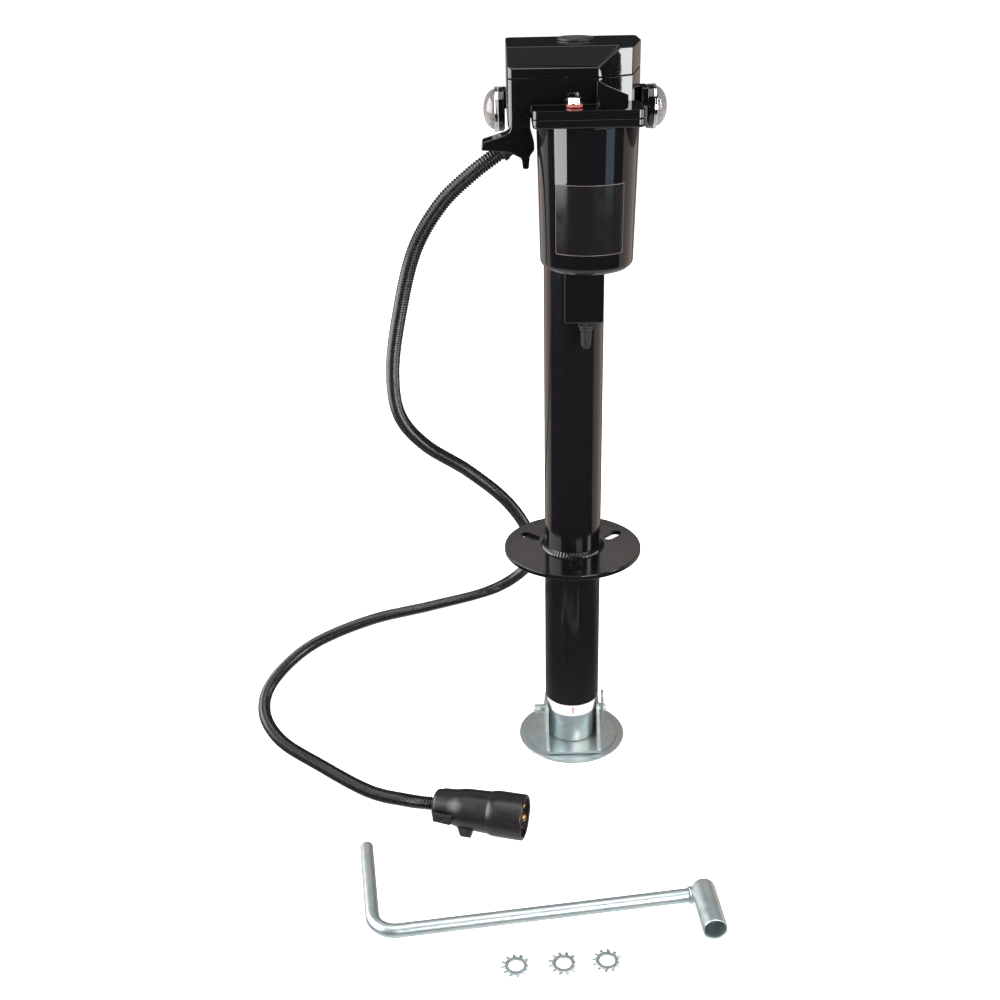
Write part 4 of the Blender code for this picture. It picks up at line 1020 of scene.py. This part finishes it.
def build_plug():
    """Seven-way plug: tapered shell, slotted face, round centre contact, latch fin and cord clamps."""
    end = PLUG_LENGTH
    bore = PLUG_R - 3.2 * MM
    shell = turn("plug_shell", (
        (0, 0.7 * MM), (13 * MM, 0.7 * MM, 0.6 * MM), (15.5 * MM, 3 * MM, 1.5 * MM),
        (17 * MM, 20 * MM, 4 * MM), (19.5 * MM, 30 * MM, 4 * MM), (20.6 * MM, 57.6 * MM, 0.5 * MM),
        (20.9 * MM, 58.2 * MM, 0.3 * MM), (21.5 * MM, 60 * MM, 1 * MM), (PLUG_R - 0.1 * MM, 63 * MM, 3 * MM),
        (PLUG_R, end - 1.4 * MM, 0.4 * MM), (PLUG_R - 0.9 * MM, end, 0.5 * MM),
        (PLUG_R - 2.7 * MM, end, 0.4 * MM),
        (bore, end - 0.8 * MM, 0.3 * MM), (bore, end - 22 * MM), (0, end - 22 * MM)), plug_line, 96)
    # A shallow step where the two moulded halves meet, along each side
    lean = Matrix.Rotation(math.atan2(5.4, 80), 4, "Y")
    for way in (-1, 1):
        groove = block("parting", (-0.25 * MM, -1.2 * MM, 6 * MM), (0.25 * MM, 1.2 * MM, end - 6 * MM))
        round_edges(groove, 0.08 * MM, 1, lambda a, b: True)
        seat = facing(beside_plug(0, way * 17.6, 0), PLUG_DIRECTION)
        cut(shell, settle(groove, seat @ lean if way < 0 else seat))
    soften(shell, 0.25 * MM, 2, 40)
    finish(shell, nylon, "housing", "plug_body", 32)

    floor_z = end - 12 * MM
    insert = turn("plug_insert", (
        (0, end - 21.7 * MM), (PLUG_R - 4 * MM, end - 21.7 * MM), (PLUG_R - 4 * MM, end - 3 * MM, 0.5 * MM),
        (PLUG_R - 5.4 * MM, end - 3 * MM, 0.4 * MM), (PLUG_R - 5.8 * MM, floor_z, 0.4 * MM),
        (6.6 * MM, floor_z, 0.4 * MM), (6.4 * MM, end - 3.4 * MM, 0.4 * MM),
        (5.0 * MM, end - 3.4 * MM, 0.4 * MM), (4.8 * MM, floor_z), (0, floor_z)), plug_line, 72)
    for number in range(6):
        rib = block("rib", (5.6 * MM, -0.8 * MM, floor_z - 1 * MM),
                    (PLUG_R - 4.8 * MM, 0.8 * MM, end - 3.6 * MM))
        round_edges(rib, 0.5 * MM, 3, lambda a, b: min(a.z, b.z) > end - 4 * MM and abs(a.x - b.x) > MM)
        cut(insert, settle(rib, plug_line @ Matrix.Rotation(math.radians(60 * number), 4, "Z")), "UNION")
    finish(insert, nylon, "housing", "plug_face", 30)

    root = floor_z + GAP
    centre = turn("centre_contact", (
        (0, root), (3.9 * MM, root), (3.9 * MM, end - 1.6 * MM, 0.9 * MM),
        (3.0 * MM, end - 0.3 * MM, 0.5 * MM), (1.6 * MM, end + 0.5 * MM, 0.4 * MM),
        (0, end + 0.5 * MM)), plug_line, 40)
    finish(centre, brass, "housing", "plug_centre_pin", 35)

    names = []
    for number in range(1, 7):
        blade = block(f"contact_blade_{number}", (9.2 * MM, -0.9 * MM, root),
                      (13.6 * MM, 0.9 * MM, end - 3 * MM))
        round_edges(blade, 0.6 * MM, 3, lambda a, b: min(a.z, b.z) > end - 3.1 * MM)
        settle(blade, plug_line @ Matrix.Rotation(math.radians(60 * number - 30), 4, "Z"))
        finish(blade, brass, "housing", f"plug_blade_{number}", 35)
        names.append(blade.name)

    # The latch fin's root is pulled inwards, so that it runs down into the tapered shell
    fin = copied("plug_key", "latch_fin")
    fin_out = Vector((-0.186, -0.682, -0.707))
    edit(fin)
    choose("VERT", lambda v: (v.co - loom_path[-1]).dot(fin_out) < 22.5 * MM)
    bpy.ops.transform.translate(value=fin_out * -4.5 * MM)
    leave()
    soften(fin, 0.9 * MM, 3, 28)
    finish(fin, nylon, "housing", "plug_key", 32)
    names.append(fin.name)

    for side, way in (("near", -1), ("far", 1)):
        clamp = copied(f"plug_clamp_{side}", f"cord_clamp_{side}")
        cut(clamp, turn("screw_recess", ((0, 0), (2.6 * MM, 0), (2.6 * MM, 9 * MM), (0, 9 * MM)),
                        facing(beside_plug(0, way * 19.4, 13), plug_side * way), 28))
        soften(clamp, 1.1 * MM, 3, 28)
        finish(clamp, nylon, "housing", f"plug_clamp_{side}", 32)
        names.append(clamp.name)
    return ["plug_shell", "plug_insert", "centre_contact", *names]


CRANK_ROD_R = 6.35
CRANK_TIP = (-210.0, -190.0)
CRANK_CORNER = (-193.5, -309.0)
CRANK_END = (93.0, -268.0)
CRANK_BEND_R = 22.0
SOCKET_START = (104.8, -262.0)
SOCKET_END = (108.0, -318.0)
SOCKET_R = 11.1
SOCKET_WALL = 1.6
WASHER_PLACES = ((-68.0, -345.5), (-26.8, -343.8), (11.0, -341.5))


def build_crank():
    """A bent round bar with a blunt tip, pressed into the crimped end of a drive socket."""
    tip = Vector((*CRANK_TIP, CRANK_ROD_R))
    corner = Vector((*CRANK_CORNER, CRANK_ROD_R))
    end = Vector((*CRANK_END, CRANK_ROD_R))
    to_tip = (tip - corner).normalized()
    to_end = (end - corner).normalized()
    half_bend = to_tip.angle(to_end) / 2
    centre = corner + (to_tip + to_end).normalized() * CRANK_BEND_R / math.sin(half_bend)
    first = corner + to_tip * CRANK_BEND_R / math.tan(half_bend)
    last = corner + to_end * CRANK_BEND_R / math.tan(half_bend)
    arc = [centre + (first - centre).slerp(last - centre, step / 8).normalized() * CRANK_BEND_R
           for step in range(9)]
    points = [tip.lerp(first, share / 6) for share in range(6)] + arc
    points += [last.lerp(end, share / 10) for share in range(1, 11)]
    bar = rod_along("crank_bar", [point * MM for point in points], CRANK_ROD_R * MM, 2.4 * MM, 36, 0.3)
    finish(bar, zinc, "crank", "crank_rod", 60)

    start = Vector((*SOCKET_START, SOCKET_R)) * MM
    axis = Vector((*SOCKET_END, SOCKET_R)) * MM - start
    reach = SOCKET_R * MM
    line = facing(start, axis)
    long = axis.length
    inside = reach - SOCKET_WALL * MM
    socket = turn("drive_socket", (
        (inside, long - 1.2 * MM, 0.3 * MM), (inside + 0.4 * MM, long, 0.2 * MM),
        (reach - 0.3 * MM, long, 0.3 * MM),
        (reach, long - 1 * MM, 0.4 * MM), (reach, 2.6 * MM, 1 * MM), (reach - 2 * MM, 0, 1 * MM),
        (inside - 2 * MM, 0, 0.3 * MM), (inside - 2 * MM, 1.6 * MM, 0.3 * MM), (inside, 3.4 * MM, 0.3 * MM)),
        line, 72, True)
    # Two crimps squeezed into the tube near its mouth
    for turned in (60, 120):
        spot = line @ Matrix.Rotation(math.radians(turned), 4, "Z")
        for vert in socket.data.vertices:
            local = spot.inverted() @ vert.co
            swing = math.atan2(local.y, local.x)
            along = (local.z - 0.72 * long) / (7 * MM)
            if abs(swing) < 0.5 and abs(along) < 1 and local.xy.length > inside + 0.5 * MM:
                sink = 0.5 * MM * math.cos(swing * math.pi) ** 2 * (1 - along ** 2)
                local.xy = local.xy * (1 - max(0.0, sink) / local.xy.length)
                vert.co = spot @ local
    bar_r = CRANK_ROD_R * MM
    collar = turn("crimp_collar", (
        (bar_r + 0.1 * MM, -1.5 * MM), (bar_r + 1.6 * MM, -1.0 * MM, 0.6 * MM),
        (bar_r + 1.2 * MM, 2.4 * MM, 0.6 * MM), (bar_r + 0.1 * MM, 3.0 * MM)),
        facing(end * MM, to_end), 40, True)
    saw(collar, (0, 0, 0.05 * MM), (0, 0, -1))
    join(socket, collar)
    finish(socket, zinc, "crank", "crank_socket", 32)


def build_washer(number):
    """A flat ring with twelve twisted lock teeth round its rim."""
    x, y = WASHER_PLACES[number - 1]
    outer = half_width(f"star_washer_{number}")
    ring_low = 0.5 * MM
    ring_high = ring_low + 1.1 * MM
    hole = 6.6 * MM
    rim = 10.2 * MM
    ring = turn("lock_ring", (
        (hole, ring_low, 0.2 * MM), (rim, ring_low, 0.2 * MM), (rim, ring_high, 0.3 * MM),
        (hole, ring_high, 0.2 * MM)), steps=72, closed=True)
    raised = Matrix.Translation((0, 0, (ring_low + ring_high) / 2))
    twist = Matrix.Rotation(math.radians(24), 4, "X")
    for tooth in range(12):
        tab = block("tab", (9.4 * MM, -1.5 * MM, -0.45 * MM), (outer, 1.5 * MM, 0.45 * MM))
        round_edges(tab, 0.4 * MM, 2, lambda a, b: min(a.x, b.x) > outer - 0.1 * MM
                    and abs(a.z - b.z) > 0.5 * MM)
        swing = Matrix.Rotation(math.radians(30 * tooth), 4, "Z")
        cut(ring, settle(tab, swing @ raised @ twist), "UNION")
    soften(ring, 0.12 * MM, 2, 35)
    ring.name = f"lock_washer_{number}"
    settle(ring, Matrix.Translation((x * MM, y * MM, 0)) @ Matrix.Rotation(math.radians(7 * number), 4, "Z"))
    finish(ring, zinc, "housing", f"star_washer_{number}", 30)


PLUG_PIECES = build_plug()
build_crank()
for washer_number in (1, 2, 3):
    build_washer(washer_number)


# CAD nodes that keep their own mesh: the hidden works and the toggle under its boot ----------------------
KEPT = {
    steel: ("top_plate", "thrust_bearing", "screw_gear", "idler_gear", "idler_spindle", "motor_pinion",
            "lead_screw", "motor_can"),
    brass: ("lead_nut",),
    chrome: ("toggle_lever",),
}
for look, names in KEPT.items():
    for name in names:
        kept = nodes[name]
        kept.data.materials.clear()
        kept.data.materials.append(look)

# Camera and studio --------------------------------------------------------------------------------------
CAMERA_PLACE = (-0.07379, -1.19406, 0.83167)
CAMERA_AXES = Matrix(((0.9998, 0.02007, 0.0), (-0.00836, 0.4162, -0.9092), (-0.01825, 0.9090, 0.4163)))
HEAD_CENTRE = Vector((0, -0.03, 0.69))

camera_data = bpy.data.cameras.new("studio_camera")
camera_data.lens = 46.63
camera_data.sensor_width = 36
camera = bpy.data.objects.new("studio_camera", camera_data)
camera.matrix_world = Matrix.Translation(CAMERA_PLACE) @ CAMERA_AXES.to_4x4()
bpy.context.scene.collection.objects.link(camera)
bpy.context.scene.camera = camera

deselect()
bpy.ops.mesh.primitive_plane_add(size=60, location=(0, 0, 0))
floor = bpy.context.object
floor.name = "floor"
floor.data.materials.append(floor_paint)
floor.visible_glossy = False


def softbox(name, azimuth, width, low, high, distance, radiance, colour="#ffffff"):
    """A soft light seen from the head between two heights, at an azimuth from -Y to the right, in degrees."""
    outward = Vector((math.sin(math.radians(azimuth)), -math.cos(math.radians(azimuth)), 0))
    bottom = HEAD_CENTRE.z + distance * math.tan(math.radians(low))
    top = HEAD_CENTRE.z + distance * math.tan(math.radians(high))
    light = bpy.data.lights.new(name, "AREA")
    light.shape = "RECTANGLE"
    light.size = 2 * distance * math.tan(math.radians(width / 2))
    light.size_y = top - bottom
    light.energy = radiance * math.pi * light.size * light.size_y
    light.color = linear(colour)[:3]
    lamp = bpy.data.objects.new(name, light)
    centre = Vector((HEAD_CENTRE.x, HEAD_CENTRE.y, 0)) + outward * distance
    centre.z = (top + bottom) / 2
    lamp.matrix_world = facing(centre, outward)
    lamp.visible_camera = False
    bpy.context.scene.collection.objects.link(lamp)


softbox("left_softbox", -84, 64, -10, 38, 1.7, 8)
softbox("left_skirt", -66, 32, -15.5, -10, 1.7, 8)
softbox("right_strip", 24, 26, -10, 14, 1.9, 13)
softbox("right_softbox", 69.7, 13.3, -10, 32, 1.8, 15)
softbox("right_skirt", 47, 20, -16, -10, 1.8, 1.6, "#bcd4e6")
softbox("left_low", -128, 50, -38, -12, 1.7, 0.9, "#eee2d8")
softbox("right_low", 112, 60, -38, -12, 1.8, 0.8, "#f0dfd2")
softbox("back_wall", 178, 90, 11, 28, 1.8, 0.8, "#f4ece6")
softbox("back_top", 178, 80, 34, 62, 1.8, 0.18)
overhead = bpy.data.lights.new("overhead", "AREA")
overhead.size = 1.6
overhead.energy = 28
overhead_lamp = bpy.data.objects.new("overhead", overhead)
overhead_lamp.location = (0.0, -0.3, 2.4)
overhead_lamp.visible_camera = False
bpy.context.scene.collection.objects.link(overhead_lamp)

# The room: white to the camera, dim in reflections apart from a warm glow low behind and a pale floor
world = bpy.data.worlds.new("studio")
bpy.context.scene.world = world
world.use_nodes = True
tree = world.node_tree
background = tree.nodes["Background"]
direction = add(tree, "TexCoord").outputs["Generated"]
parts = add(tree, "SeparateXYZ", [("Vector", direction)])
behind = add(tree, "MapRange", [("Value", parts.outputs["Y"]), ("From Min", 0.1), ("From Max", 0.6)])
below = add(tree, "MapRange", [("Value", parts.outputs["Z"]), ("From Min", 0.04), ("From Max", -0.08)])
glow = add(tree, "Math", [(0, behind.outputs[0]), (1, below.outputs[0])], operation="MULTIPLY")
room = mixed(tree, glow.outputs[0], linear("#2a2a2c"), linear("#8c8078"))
under = add(tree, "MapRange", [("Value", parts.outputs["Z"]), ("From Min", -0.53), ("From Max", -0.65)])
lit = mixed(tree, under.outputs[0], room, linear("#e6ecee"))
seen = mixed(tree, add(tree, "LightPath").outputs["Is Camera Ray"], lit, linear("#ffffff"))
tree.links.new(seen, background.inputs["Color"])

scene = bpy.context.scene
scene.view_settings.view_transform = "Standard"
scene.view_settings.look = "None"
